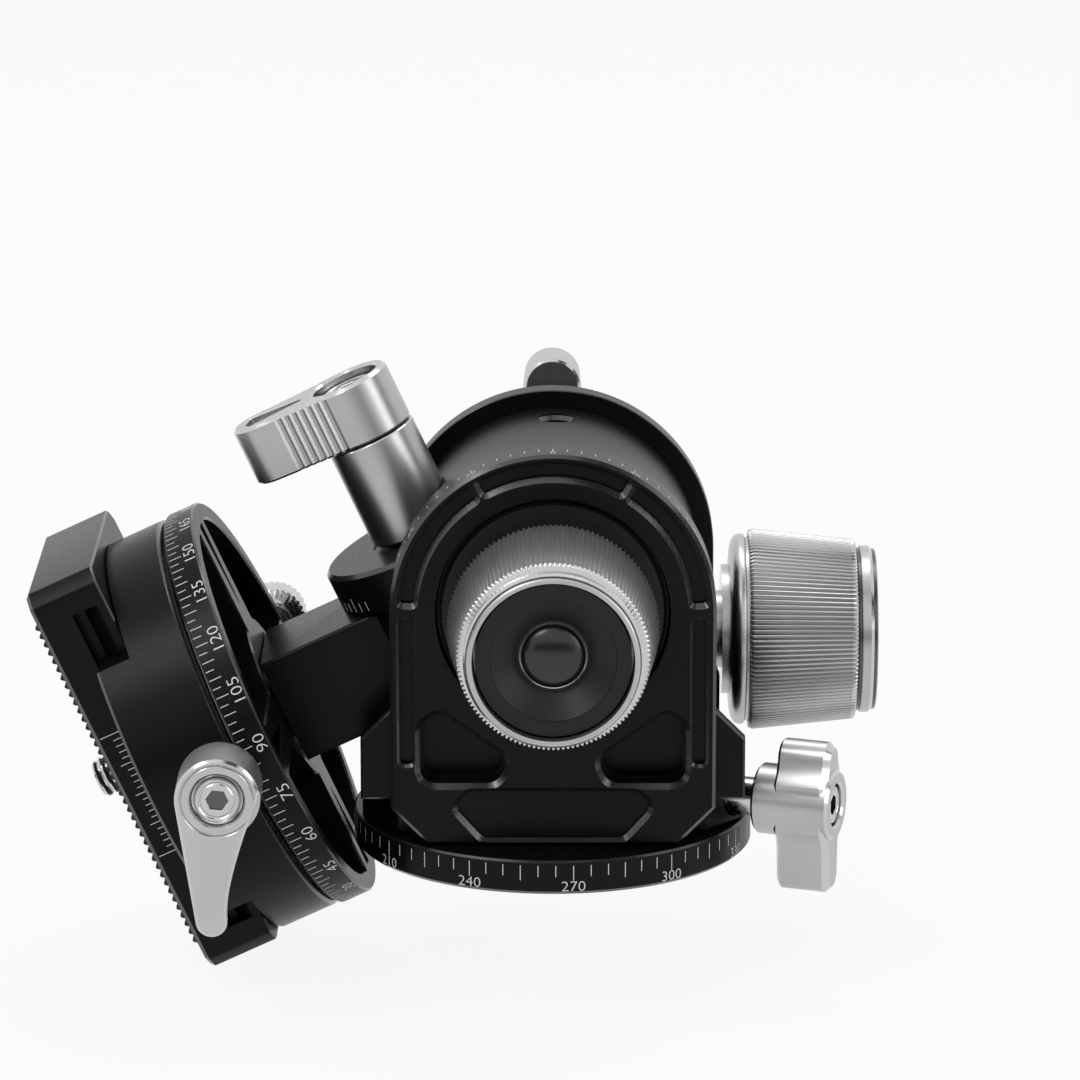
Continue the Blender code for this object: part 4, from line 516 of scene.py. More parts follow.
def marks(name, strokes, words, radius, place, body):
    """White strokes (x, low, high) and words (x, low, height, text).

    They lie round a cylinder about own Z, counted from its front, or for a radius of 0
    on the flat face of own XY.
    """
    def lay(x, y, side):
        out = MARK_RISE if side > 0 else -MARK_DEPTH
        if radius == 0.0:
            return x, y, out
        angle = x / radius
        return (radius + out) * math.sin(angle), -(radius + out) * math.cos(angle), y

    shape = bmesh.new()
    for x, low, high in strokes:
        start = len(shape.verts)
        bmesh.ops.create_cube(shape, size=1.0)
        shape.verts.ensure_lookup_table()
        for vertex in shape.verts[start:]:
            vertex.co = lay(x + vertex.co.x * MARK_WIDTH,
                            (low + high) / 2 + vertex.co.y * (high - low), vertex.co.z)
    for x, low, height, text in words:
        curve = bpy.data.curves.new("words", "FONT")
        curve.body = text
        curve.align_x = "CENTER"
        curve.extrude = 1.0
        curve.offset = LETTER_THINNING
        curve.resolution_u = LETTER_STEPS
        holder = add_object("words", curve)
        letters = settled_mesh(holder)
        bpy.data.objects.remove(holder, do_unlink=True)
        heights = [vertex.co.y for vertex in letters.vertices]
        bottom = min(heights)
        scale = height / (max(heights) - bottom)
        for vertex in letters.vertices:
            vertex.co = lay(x + vertex.co.x * scale * LETTER_STRETCH,
                            low + (vertex.co.y - bottom) * scale, vertex.co.z)
        shape.from_mesh(letters)
        bpy.data.meshes.remove(letters)
    bmesh.ops.remove_doubles(shape, verts=shape.verts, dist=MARK_WELD)
    dress(settle(name, shape, place, [PAINT]), body)


def make_dial(name, node, place, body, zero, step, every, lengths, drop, numbered, rise, height):
    """White strokes and numbers all round the rim of a node.

    The mark for 0 is at the angle zero. A stroke has the first of two lengths, or the
    second at a multiple of every, and a multiple of numbered has its number.
    """
    low, high = extent(node, place)
    radius = high.x
    top = high.z - drop
    strokes = []
    words = []
    for index in range(round(360.0 / step)):
        value = index * step
        x = radius * math.radians(zero + value)
        length = lengths[1] if value % every == 0.0 else lengths[0]
        strokes.append((x, top - length, top))
        if value % numbered == 0.0:
            words.append((x, low.z + rise, height, str(int(value))))
    marks(name, strokes, words, radius, place, body)


# Pan base

BASE_CHAMFER = 0.5
BASE_HOLE = 8.3
BASE_COUNTERBORE = 13.3
BASE_COUNTERBORE_TOP = 2.9
SOCKET_RADIUS = 4.2
SOCKET_THREAD_DEPTH = 0.45
SOCKET_THREAD_PITCH = 1.5875


def make_base():
    """The pan disc with its scale, and the threaded socket."""
    low, high = extent("pan_base", WORLD)
    radius = high.x
    top = high.z
    disc = turned("base_disc", [
        (BASE_HOLE, top), (radius - SMALL_EDGE, top, 1), (radius, top - SMALL_EDGE),
        (radius, BASE_CHAMFER, 1), (radius - BASE_CHAMFER, low.z),
        (BASE_COUNTERBORE + SMALL_EDGE, low.z, 1), (BASE_COUNTERBORE, low.z + SMALL_EDGE),
        (BASE_COUNTERBORE, BASE_COUNTERBORE_TOP), (BASE_HOLE, BASE_COUNTERBORE_TOP),
    ], WORLD, BLACK, FINE_STEPS, ring=True)
    dress(disc, "base", "black_anodised", "pan_base")
    make_dial("pan_scale", "pan_base", WORLD, "base", zero=-264.2, step=5.0, every=15.0,
              lengths=(1.7, 2.3), drop=0.7, numbered=30.0, rise=0.55, height=1.5)
    low, high = extent("tripod_bushing", WORLD)
    points = thread_points(SOCKET_RADIUS, low.z, high.z)
    bushing = turned("threaded_bushing", points + [(high.x, high.z), (high.x, low.z)],
                     WORLD, [BRASS], SMALL_STEPS, ring=True,
                     waved=helix(SOCKET_RADIUS, -SOCKET_THREAD_DEPTH, SOCKET_THREAD_PITCH))
    dress(bushing, "base", "brass", "tripod_bushing")


# Fork frame

FRAME_BOTTOM = 5.45
ARCH_FOOT_HALF = 18.5
ARCH_FOOT_TOP = 11.0
ARCH_RADIUS = 24.0
ARCH_FRONT = 22.7
ARCH_BACK = 15.6
ARCH_EDGE = 0.5
REAR_RADIUS = 24.6
REAR_FRONT = 16.5
REAR_BACK = 20.5
REAR_HOLE_RADIUS = 10.1
REAR_EAR_HALF = 25.7
BLOCK_TOP = 13.5
BLOCK_HALF = 28.5
BLOCK_CORNER_HALF = 23.0
BLOCK_SIDE = 8.8
EAR_TOP = 24.8
EAR_SHOULDER = 20.3
EAR_DEPTH = 2.4
TROUGH_RADIUS = 27.3
OPENING_RADIUS = 17.3
POCKET_INNER = 20.6
POCKET_OUTER = 22.5
POCKET_DEPTH = 1.5
POCKET_EDGE = 0.75
RIM_POCKETS = ((-29.0, 29.0), (33.0, 86.0), (-86.0, -33.0))
RIM_CORNER = 0.5
SIDE_POCKET = [(20.6, 17.7), (22.5, 17.7), (22.5, 39.8), (20.6, 39.8)]
SIDE_CORNER = 0.8
WEB_POCKET = [(8.2, 14.7), (19.6, 14.7), (19.6, 23.6), (16.8, 25.8), (6.5, 18.3)]
WEB_DEPTH = 3.2
WEB_CORNER = 2.6
WEB_EDGE = 0.8
WEB_STEP_RADIUS = 23.6
WEB_STEP_DEPTH = 5.6
WEB_STEP_INSET = 0.4
WEB_STEP_LAP = 0.5
FOOT_POCKET_HALF = [(10.3, 6.3), (14.6, 11.1), (12.5, 13.5)]
FOOT_POCKET_DEPTH = 1.4
FOOT_CORNER = 2.2
ROLL_SCALE = range(-70, 75, 5)
ROLL_NUMBERED = 30
ROLL_STROKE = (-20.2, -19.0)
ROLL_NUMBER = (-21.6, 1.1)


def arch(radius):
    """The outline of a fork wall."""
    foot = [(ARCH_FOOT_HALF, FRAME_BOTTOM), (radius, ARCH_FOOT_TOP)]
    curve = arc(radius, 0.0, 180.0, SMALL_STEPS, (0.0, ROLL_HEIGHT))
    return foot + curve + mirrored(foot)


def rim_pocket(start, end):
    """A part of a ring near the arch's rim, with its angles from straight up."""
    centre = (0.0, ROLL_HEIGHT)
    outline = arc(POCKET_OUTER, 90.0 - start, 90.0 - end, 2 * ARC_STEPS, centre)
    outline += arc(POCKET_INNER, 90.0 - end, 90.0 - start, 2 * ARC_STEPS, centre)
    return outline


def fork_blank():
    """The two arches on their faceted foot."""
    fork = slab("fork_body", arch(ARCH_RADIUS),
                levels_between(ARCH_BACK, ARCH_FRONT, FINE_EDGE, ARCH_EDGE), FRONT, BLACK)
    rear = slab("rear", arch(REAR_RADIUS),
                levels_between(-REAR_BACK, -REAR_FRONT, EDGE, FINE_EDGE), FRONT, BLACK)
    plan = [(BLOCK_CORNER_HALF, -ARCH_BACK - GAP), (BLOCK_HALF, -BLOCK_SIDE),
            (BLOCK_HALF, BLOCK_SIDE), (BLOCK_CORNER_HALF, REAR_FRONT + GAP)]
    foot = slab("foot", plan + mirrored(plan),
                levels_between(FRAME_BOTTOM, BLOCK_TOP, FINE_EDGE), WORLD, BLACK)
    ear = [(BLOCK_HALF, ARCH_FOOT_TOP), (BLOCK_HALF, EAR_SHOULDER), (ARCH_RADIUS, EAR_TOP)]
    slim = [(min(REAR_EAR_HALF, x), z) for x, z in ear]
    front_ear = slab("front_ear", ear + mirrored(ear), levels_between(
        ARCH_BACK, ARCH_BACK + EAR_DEPTH, FINE_EDGE, SMALL_EDGE), FRONT, BLACK)
    rear_ear = slab("rear_ear", slim + mirrored(slim), levels_between(
        -REAR_FRONT - EAR_DEPTH, -REAR_FRONT, SMALL_EDGE, FINE_EDGE), FRONT, BLACK)
    return shaped(fork, [foot, front_ear, rear_ear, rear], "UNION")


def web_step(outline, axis):
    """A cutter for the deeper floor of a web pocket, outside the drum's round seat."""
    levels = [(ARCH_FRONT - WEB_STEP_DEPTH, -WEB_STEP_INSET),
              (ARCH_FRONT - WEB_DEPTH + WEB_STEP_LAP, -WEB_STEP_INSET)]
    seat = hole(WEB_STEP_RADIUS, ARCH_BACK - OVER, ARCH_FRONT, axis, steps=TURN_STEPS)
    return shaped(slab("cutter", outline, levels, FRONT, BLACK), [seat])


def make_fork():
    """The fork frame, with its openings, recesses and scale."""
    axis = ROLL @ FRONT
    cutters = [hole(TROUGH_RADIUS, -REAR_FRONT, ARCH_BACK - OVER, axis, steps=TURN_STEPS),
               hole(OPENING_RADIUS, ARCH_BACK - OVER, ARCH_FRONT, axis, SMALL_EDGE,
                    TURN_STEPS),
               hole(REAR_HOLE_RADIUS, -REAR_BACK, -REAR_FRONT, axis, SMALL_EDGE, TURN_STEPS,
                    SMALL_EDGE),
               hole(BASE_HOLE, 0.0, BLOCK_TOP - 2 * OVER, WORLD),
               hole(extent("pan_lock_screw", PAN_LOCK)[1].y + GAP, 0.0, BLOCK_HALF + OVER,
                    PAN_LOCK @ ACROSS)]
    side = rounded(SIDE_POCKET, SIDE_CORNER)
    web = rounded(WEB_POCKET, WEB_CORNER)
    foot = rounded(FOOT_POCKET_HALF + mirrored(FOOT_POCKET_HALF), FOOT_CORNER)
    recesses = [(rounded(rim_pocket(*angles), RIM_CORNER), POCKET_DEPTH, POCKET_EDGE)
                for angles in RIM_POCKETS]
    recesses += [(points, POCKET_DEPTH, EDGE) for points in (side, mirrored(side))]
    recesses += [(points, WEB_DEPTH, WEB_EDGE) for points in (web, mirrored(web))]
    recesses.append((foot, FOOT_POCKET_DEPTH, POCKET_EDGE))
    for points, depth, edge in recesses:
        cutters.append(pocket(points, ARCH_FRONT - depth, ARCH_FRONT, edge, FRONT))
        if depth == WEB_DEPTH:
            cutters.append(web_step(points, axis))
    fork = shaped(fork_blank(), cutters)
    dress(fork, "frame", "black_anodised", "fork_frame")
    places = [(value, ARCH_RADIUS * math.radians(value)) for value in ROLL_SCALE]
    strokes = [(x, *ROLL_STROKE) for _, x in places]
    words = [(x, *ROLL_NUMBER, str(abs(value))) for value, x in places if value % ROLL_NUMBERED == 0]
    marks("roll_scale", strokes, words, ARCH_RADIUS, ROLL @ turn(-90.0, "X"), "frame")


# Gear case

CASE_RADIUS = 15.8
CASE_FLANGE = 21.0
CASE_FLANGE_DEPTH = 2.5
CASE_REACH = 40.0
CASE_SHAFT_HOLE = 6.3
CASE_SCREW_CIRCLE = 18.6
CASE_SCREW_ANGLES = (-105.0, -30.0, 30.0, 105.0)
CASE_SCREW_SEAT = 2.4
TUBE_RADIUS = 6.8
TUBE_START = -11.2
TUBE_START_BREAK = 0.2
TUBE_END = 24.6
WHEEL_ROOM = 13.1
WHEEL_ROOM_BACK = 29.2
WORM_BORE = 4.5
WORM_BORE_START = -8.7


def make_case():
    """The gear case behind the fork, with its screws."""
    axis = ROLL @ BACKWARD
    across = SIDE_KNOB @ ACROSS
    low, high = extent("gear_case", axis)
    front = low.z
    back = high.z
    seat = front + CASE_FLANGE_DEPTH
    case = turned("gear_housing", [
        (0.0, back), (CASE_RADIUS - EDGE, back, 1), (CASE_RADIUS, back - EDGE),
        (CASE_RADIUS, seat), (CASE_FLANGE - SMALL_EDGE, seat, 1),
        (CASE_FLANGE, seat - SMALL_EDGE), (CASE_FLANGE, front), (0.0, front),
    ], axis, BLACK)
    tube = turned("tube", [
        (0.0, TUBE_END), (TUBE_RADIUS - SMALL_EDGE, TUBE_END, 1),
        (TUBE_RADIUS, TUBE_END - SMALL_EDGE), (TUBE_RADIUS, TUBE_START + TUBE_START_BREAK, 1),
        (TUBE_RADIUS - SMALL_EDGE, TUBE_START), (0.0, TUBE_START),
    ], across, BLACK, SMALL_STEPS)
    shaped(case, [tube], "UNION")
    top = 2 * CASE_REACH
    cutters = [box((-CASE_REACH, 0.0, 0.0), (CASE_REACH, front, top), WORLD),
               box((-CASE_REACH, back, 0.0), (CASE_REACH, CASE_REACH, top), WORLD),
               hole(CASE_SHAFT_HOLE, front, back, axis, SMALL_EDGE),
               hole(WHEEL_ROOM, front - OVER, WHEEL_ROOM_BACK - OVER, axis),
               hole(WORM_BORE, WORM_BORE_START, TUBE_END, across)]
    for index, angle in enumerate(CASE_SCREW_ANGLES):
        place = axis @ Matrix.Translation((*polar(CASE_SCREW_CIRCLE, angle), 0.0))
        cutters.append(hole(CASE_SCREW_SEAT, seat, back, place))
        cap_screw(f"gear_case_screw_{index + 1}", place, "frame")
    shaped(case, cutters)
    dress(case, "frame", "black_anodised", "gear_case")


# Screws, with their shares of the head's radius

CAP_RIBS = 24
CAP_RIB_DEPTH = 0.05
CAP_SHANK = 0.55
CAP_FACE = 0.85
CAP_HEXAGON = 0.52
CAP_SOCKET = 0.5
CAP_SOCKET_EDGE = 0.08
SCREW_BREAK = 0.2
SCREW_RINGS = ((0.72, 0.0, 1), (0.76, -0.12, 1), (0.82, -0.12, 1), (0.86, 0.0, 0))
SCREW_HEXAGON = 1.6
SCREW_SOCKET = 0.9
SCREW_SOCKET_SHARE = 0.6
SCREW_SOCKET_EDGE = 0.1
# The third finish is painted shade for the inside of a screw's socket
SCREW_FINISHES = [STEEL, POLISHED, RECESS_SHADE]


def sink_hexagon(made, radius, depth, edge, top, place):
    """Cuts a hexagon socket into the top of a screw."""
    hexagon = arc(radius, 0.0, 300.0, 5)
    # The socket's floor and walls get finish 2, the painted recess shade
    shaped(made, [pocket(hexagon, top - depth, top, edge, place, 2)])


def cap_screw(node, place, body):
    """A socket-head screw with a knurled rim, in place of a CAD screw."""
    low, high = extent(node, place)
    head = high.x
    top = high.z
    seat = top - head
    shank = head * CAP_SHANK
    made = turned(node + "_turned", [
        (0.0, top), (head * CAP_FACE, top, 1), (head, top - SCREW_BREAK), (head, seat),
        (shank, seat), (shank, low.z), (0.0, low.z),
    ], place, SCREW_FINISHES, 4 * CAP_RIBS, waved=ribbed(head, CAP_RIBS, CAP_RIB_DEPTH))
    sink_hexagon(made, head * CAP_HEXAGON, head * CAP_SOCKET, CAP_SOCKET_EDGE, top, place)
    dress(made, body, "steel", node)


def hex_screw(node, place, body, radius):
    """A flat round screw with a hexagon socket and turned rings on its face."""
    low, high = extent(node, place)
    top = high.z
    rings = [(radius * share, top + drop, choice) for share, drop, choice in SCREW_RINGS]
    profile = rod(radius, low.z, top, 0.0, SCREW_BREAK)
    made = turned(node + "_turned", profile[:1] + rings + profile[1:], place,
                  SCREW_FINISHES, SMALL_STEPS)
    depth = min(SCREW_SOCKET, (top - low.z) * SCREW_SOCKET_SHARE)
    sink_hexagon(made, SCREW_HEXAGON, depth, SCREW_SOCKET_EDGE, top, place)
    dress(made, body, "steel", node)


# Geared knobs, with tables of (radius, height from the knob's face, finish)

RIBS = 123
RIB_STEPS = 6
RIB_DEPTH = 0.42
RIB_SHAPE = (0.0, 0.15, 0.65, 1.0, 0.65, 0.15)
KNURL_LOW = -19.6
KNURL_TOP = -3.4
KNURL_LEAST = 13.8
KNOB_REACH = 23.8
KNOB_MOUTH = 11.5
KNOB_FLOOR = -5.4
# Finish 2 on the rim's grooves is painted shade
KNOB_RIM = [(KNOB_MOUTH, -0.3, 1), (11.65, 0.0, 0), (12.15, 0.0, 0), (12.4, -0.15, 2),
            (12.45, -0.6, 2), (12.6, -0.65, 1), (12.9, -1.1, 0), (12.9, -2.3, 0),
            (12.8, -2.45, 2), (12.55, -2.55, 2), (12.55, -2.8, 1), (13.45, -3.15, 1)]
KNOB_KNURL = [(13.9, KNURL_TOP, 1), (13.9525, -3.9, 0), (15.537, -19.0, 0), (15.25, KNURL_LOW, 0)]
KNOB_COLLAR = [(14.2, -19.75), (14.2, -20.15), (14.6, -20.3), (14.75, -20.6),
               (14.75, -21.1), (14.6, -21.6), (14.2, -22.0), (13.6, -22.3), (12.8, -22.5),
               (11.8, -22.6), (10.0, -22.6)]
KNOB_NECK = (10.0, 6.0, 3.1)
DISH = [(9.1, -1.2), (11.2, -1.2), (11.2, -5.1), (5.0, -5.1), (5.0, -4.15), (5.2, -4.2),
        (9.0, -1.45, 1)]
DOME_RING = [(4.72, -3.92), (4.85, -3.88), (4.97, -4.0), (4.97, -5.1), (4.72, -5.1)]
DOME_RADIUS = 4.7
DOME_RISE = 1.9
DOME_SPRING = -3.9
DOME_ANGLES = range(8, 91, 8)
DOME_FOOT = [(DOME_RADIUS, -4.1), (DOME_RADIUS, -5.1), (0.0, -5.1)]


def make_knob(prefix, place, start, neck):
    """A geared knob: knurled grip, stepped rim, dished cap and glossy dome."""
    shoulder = start + neck
    face = shoulder + KNOB_REACH

    def waved(radius, height, angle):
        above = height - face
        if (above < KNURL_LOW - RADIUS_STEP or above > KNURL_TOP + RADIUS_STEP
                or radius < KNURL_LEAST):
            return radius
        step = int(round(angle / (2 * math.pi) * RIBS * RIB_STEPS)) % RIB_STEPS
        return radius - RIB_DEPTH * RIB_SHAPE[step]

    wide, middle, bore = KNOB_NECK
    floor = face + KNOB_FLOOR
    profile = raised(KNOB_RIM + KNOB_KNURL + KNOB_COLLAR, face)
    profile += [(wide, shoulder, 1), (middle, shoulder), (middle, start), (bore, start),
                (bore, floor), (KNOB_MOUTH, floor)]
    # The third finish paints shade into the rim's grooves
    grip = turned(prefix + "_knurled", profile, place, [KNURLED, POLISHED, RECESS_SHADE],
                  RIBS * RIB_STEPS, ring=True, waved=waved)
    dress(grip, prefix, "silver", prefix + "_grip")
    cap = turned(prefix + "_dish", raised(DISH, face), place, [MATTE, BLACK_EDGE], ring=True)
    dress(cap, prefix, "matte_black", prefix + "_cap")
    ring = turned(prefix + "_dome_ring", raised(DOME_RING, face), place, [POLISHED], ring=True)
    dress(ring, prefix, "silver")
    dome = [(0.0, DOME_SPRING + DOME_RISE)]
    for angle in DOME_ANGLES:
        out = math.sin(math.radians(angle))
        up = math.cos(math.radians(angle))
        dome.append((DOME_RADIUS * out, DOME_SPRING + DOME_RISE * up))
    button = turned(prefix + "_button", raised(dome + DOME_FOOT, face), place, [GLOSSY])
    dress(button, prefix, "glossy_black", prefix + "_dome")


# Levers

LEVER_BOSS = 6.7
LEVER_TIP_HALF = 4.3
LEVER_LOW_EDGE = 0.35
LEVER_SOCKET = 5.2
LEVER_SOCKET_DEPTH = 3.0
LEVER_SCREW = 4.2
LEVER_SLOT_START = 0.5
LEVER_SLOT_HALF = 0.9
LEVER_SLOT_END = [(1.5, 2.6), (2.3, 0.0), (1.5, -2.6)]
LEVER_SLOT_DEPTH = 1.0
LEVER_SLOT_CORNER = 0.5
FLUTES = 7
FLUTE_PITCH = 1.25
FLUTE_DEPTH = 0.45
FLUTE_START = 0.24
FLUTE_POINTS = ((0.0, 0.0), (0.42, FLUTE_DEPTH), (0.58, FLUTE_DEPTH))


def fluted_side(start, end):
    """Points of a straight side with triangular flutes along its outer part."""
    across = Vector(end) - Vector(start)
    along = across.normalized()
    inward = Vector((-along.y, along.x))
    begin = across.length * FLUTE_START
    points = [start]
    for index in range(FLUTES):
        for share, depth in FLUTE_POINTS:
            reach = begin + (index + share) * FLUTE_PITCH
            points.append(tuple(Vector(start) + along * reach + inward * depth))
    last = Vector(start) + along * (begin + FLUTES * FLUTE_PITCH)
    return points + [tuple(last), end]


def lean_of(boss, tip_radius, length):
    """How far the straight side between two round ends leans, in degrees."""
    return math.degrees(math.asin((boss - tip_radius) / length))


def make_lever(node, place):
    """A quick-release lever: a deep-bored boss and a wing with fluted sides."""
    low, high = extent(node, place)
    top = high.z
    tip = high.x - LEVER_TIP_HALF
    square = 90.0 - lean_of(LEVER_BOSS, LEVER_TIP_HALF, tip)
    round_tip = arc(LEVER_TIP_HALF, -square, square, 2 * ARC_STEPS, (tip, 0.0))
    boss = arc(LEVER_BOSS, square, 360.0 - square, 4 * ARC_STEPS)
    outline = fluted_side(boss[-1], round_tip[0])[:-1] + round_tip
    outline += fluted_side(round_tip[-1], boss[0])[1:-1] + boss[:-1]
    made = slab(node + "_wing", outline, levels_between(low.z, top, LEVER_LOW_EDGE, EDGE),
                place, SILVER)
    near = LEVER_BOSS + LEVER_SLOT_START
    slot = [(near, -LEVER_SLOT_HALF), (near, LEVER_SLOT_HALF)]
    slot += [(tip + x, y) for x, y in LEVER_SLOT_END]
    shaped(made, [hole(LEVER_SOCKET, top - LEVER_SOCKET_DEPTH, top, place, SMALL_EDGE),
                  pocket(rounded(slot, LEVER_SLOT_CORNER), top - LEVER_SLOT_DEPTH, top,
                         FINE_EDGE, place)])
    dress(made, node, "silver", node)
    hex_screw(node + "_screw", place, node, LEVER_SCREW)


def make_levers():
    """The quick-release levers of the pitch axis and of the roll axis."""
    across = PITCH @ ACROSS
    make_lever("pitch_lever", across)
    make_lever("roll_lever", ROLL @ BACKWARD)
    low, high = extent("pitch_lever_stem", across)
    stem = turned("pitch_lever_post", rod(high.x, low.z, high.z, EDGE, FINE_EDGE), across, SILVER)
    dress(stem, "pitch_lever", "silver", "pitch_lever_stem")


# Pan lock

# The groove takes the shaft's second finish, painted shade
LOCK_GROOVE = [(0.0, 28.0, 1), (-0.35, 27.8, 1), (-0.35, 27.4, 1), (0.0, 27.2)]
LOCK_BOSS = 5.3
LOCK_START = 36.5
LOCK_DEPTH = 8.0
LOCK_FRONT_EDGE = 0.9
LOCK_WING_HALF = 2.8
LOCK_WING_DIFFERENCE = 2.0
LOCK_WING_MIDDLE = 3.0
LOCK_FLANK = [(6.2, 3.05), (4.9, 3.6), (3.7, 4.7)]
LOCK_SOCKET = 3.2
LOCK_SOCKET_DEPTH = 2.4
LOCK_SCREW = 2.9


def make_pan_lock():
    """The two-winged pan lock on its polished shaft, with one wing longer."""
    place = PAN_LOCK @ ACROSS
    low, high = extent("pan_lock_screw", place)
    profile = rod(high.x, low.z, high.z, 0.0, 0.0)
    groove = [(high.x + point[0], *point[1:]) for point in LOCK_GROOVE]
    # Its second finish paints shade into the groove
    shaft = turned("pan_lock_shaft", profile[:2] + groove + profile[2:], place,
                   [POLISHED, RECESS_SHADE], SMALL_STEPS)
    dress(shaft, "pan_lock", "steel", "pan_lock_screw")
    low, high = extent("pan_lock_knob", place)
    top = high.z
    middle = high.x - LOCK_WING_MIDDLE
    short = middle - LOCK_WING_DIFFERENCE
    long = middle + LOCK_WING_DIFFERENCE
    upper = LOCK_FLANK + mirrored(LOCK_FLANK)
    outline = arc(LOCK_WING_HALF, -90.0, 90.0, 2 * ARC_STEPS, (short, 0.0)) + upper
    outline += arc(LOCK_WING_HALF, 90.0, 270.0, 2 * ARC_STEPS, (-long, 0.0))
    outline += [(x, -y) for x, y in reversed(upper)]
    knob = slab("pan_lock_wings", outline, levels_between(
        LOCK_START, LOCK_START + LOCK_DEPTH, EDGE, LOCK_FRONT_EDGE), place, SILVER)
    shaped(knob, [turned("boss", rod(LOCK_BOSS, low.z, top), place, SILVER)], "UNION")
    shaped(knob, [hole(LOCK_SOCKET, top - LOCK_SOCKET_DEPTH, top, place, SMALL_EDGE)])
    dress(knob, "pan_lock", "silver", "pan_lock_knob")
    hex_screw("pan_lock_cap_screw", place, "pan_lock", LOCK_SCREW)


# Roll drum and arm

DRUM_RADIUS = 22.0
DRUM_JOURNAL = 17.0
REAR_JOURNAL = 10.0
BARREL_HALF = 15.0
BARREL_RADIUS = 15.1
BARREL_EDGE = 0.6
BARREL_ROOM = 14.3
BARREL_SLOT_HALF = 8.6
BARREL_SEAT = 7.1
BARREL_SEAT_DEPTH = 0.2
PITCH_BORE = 5.3
DRUM_BORE = 4.5
DRUM_BORE_END = -8.8
TOP_HOLE = 2.3
TOP_HOLE_EDGE = 0.6
TOP_HOLE_PLACE = (0.5, 9.4, 0.0)
TOP_HOLE_FLOOR = 18.0
TOP_HOLE_MOUTH = 21.7
CAP_BORE = 6.3
PITCH_MARK_ANGLE = 125.0
PITCH_MARKS = range(-12, 13, 6)
PITCH_STROKE_LOW = 9.2
PITCH_STROKE_TOP = 10.6
PITCH_ZERO_TOP = 11.4
ARM_HALF = 8.2
ARM_DEPTH = 10.0
ARM_CORNER = 0.6
ARM_SOCKET = 6.1
ARM_SOCKET_DEPTH = 1.8
HUB_RADIUS = 14.0
HUB_HALF = 8.3
HUB_ROOM = 13.2
HUB_SLOT_HALF = 4.5


def make_drum():
    """The roll drum with the barrel of the pitch axis and its front cap."""
    place = HEAD @ FRONT
    across = PITCH @ ACROSS
    low, high = extent("roll_drum", HEAD)
    drum = turned("drum_body", rod(DRUM_RADIUS, GAP - REAR_FRONT, ARCH_BACK - GAP), place,
                  BLACK, FINE_STEPS)
    barrel = rod(BARREL_RADIUS, -BARREL_HALF, BARREL_HALF, BARREL_EDGE, BARREL_EDGE)
    shaped(drum, [
        turned("journal", rod(DRUM_JOURNAL, 0.0, -low.y, 0.0, 0.0), place, BLACK),
        turned("rear_journal", rod(REAR_JOURNAL, -high.y, 0.0, 0.0, 0.0), place, BLACK),
        turned("barrel", barrel, across, BLACK, FINE_STEPS),
    ], "UNION")
    slot = BARREL_SLOT_HALF
    reach = BARREL_RADIUS + OVER
    shaped(drum, [
        hole(BARREL_ROOM, -slot, slot - OVER, across, steps=TURN_STEPS),
        box((-slot, -reach, 0.0), (slot, reach, reach), PITCH),
        hole(PITCH_BORE, -BARREL_HALF, BARREL_HALF, across, SMALL_EDGE, SMALL_STEPS,
             SMALL_EDGE),
        hole(DRUM_BORE, DRUM_BORE_END, -low.y, place),
        hole(BARREL_SEAT, BARREL_HALF - BARREL_SEAT_DEPTH, DRUM_RADIUS, across, SMALL_EDGE),
        hole(TOP_HOLE, TOP_HOLE_FLOOR, TOP_HOLE_MOUTH,
             ROLL @ Matrix.Translation(TOP_HOLE_PLACE), TOP_HOLE_EDGE),
    ])
    dress(drum, "drum", "black_anodised", "roll_drum")
    low, high = extent("drum_front_cap", place)
    profile = rod(high.x, low.z, high.z, 0.0)
    cap = turned("front_cap", [(CAP_BORE, high.z), *profile[1:-1], (CAP_BORE, low.z)], place,
                 [MATTE, BLACK_EDGE], ring=True)
    dress(cap, "drum", "matte_black", "drum_front_cap")
    strokes = [(BARREL_RADIUS * math.radians(angle + PITCH_MARK_ANGLE), PITCH_STROKE_LOW,
                PITCH_STROKE_TOP if angle else PITCH_ZERO_TOP) for angle in PITCH_MARKS]
    marks("pitch_scale", strokes, [], BARREL_RADIUS, across, "drum")


def make_arm():
    """The forked arm on the pitch shaft."""
    across = PITCH @ ACROSS
    top = extent("tilt_arm", HEAD)[1].z
    outline = [(-ARM_HALF, -ARM_DEPTH), (ARM_HALF, -ARM_DEPTH), (ARM_HALF, ARM_DEPTH),
               (-ARM_HALF, ARM_DEPTH)]
    arm = slab("arm_body", rounded(outline, ARM_CORNER), [(PITCH_OFFSET, 0.0), (top, 0.0)],
               HEAD, BLACK)
    shaped(arm, [turned("hub", rod(HUB_RADIUS, -HUB_HALF, HUB_HALF), across, BLACK)], "UNION")
    slot = HUB_SLOT_HALF
    reach = HUB_RADIUS + OVER
    shaped(arm, [hole(HUB_ROOM, -slot, slot - OVER, across, steps=TURN_STEPS),
                 box((-slot, -reach, -reach), (slot, reach, 0.0), PITCH),
                 hole(PITCH_BORE, -HUB_HALF, HUB_HALF, across, SMALL_EDGE, SMALL_STEPS,
                      SMALL_EDGE),
                 hole(ARM_SOCKET, top - ARM_SOCKET_DEPTH, top, HEAD)])
    dress(arm, "tilt", "black_anodised", "tilt_arm")


# Scale plate

SPOKE_RIM = 29.2
SPOKE_HUB = 13.0
SPOKE_HALF = 4.2
SPOKE_CORNER = 0.8
SPOKE_SLOT_HALF = 1.6
SPOKE_SLOT_START = 14.0
SPOKE_SLOT_CORNER = 0.4
SPOKE_WEB = 1.3
SCALE_BORE = 4.1


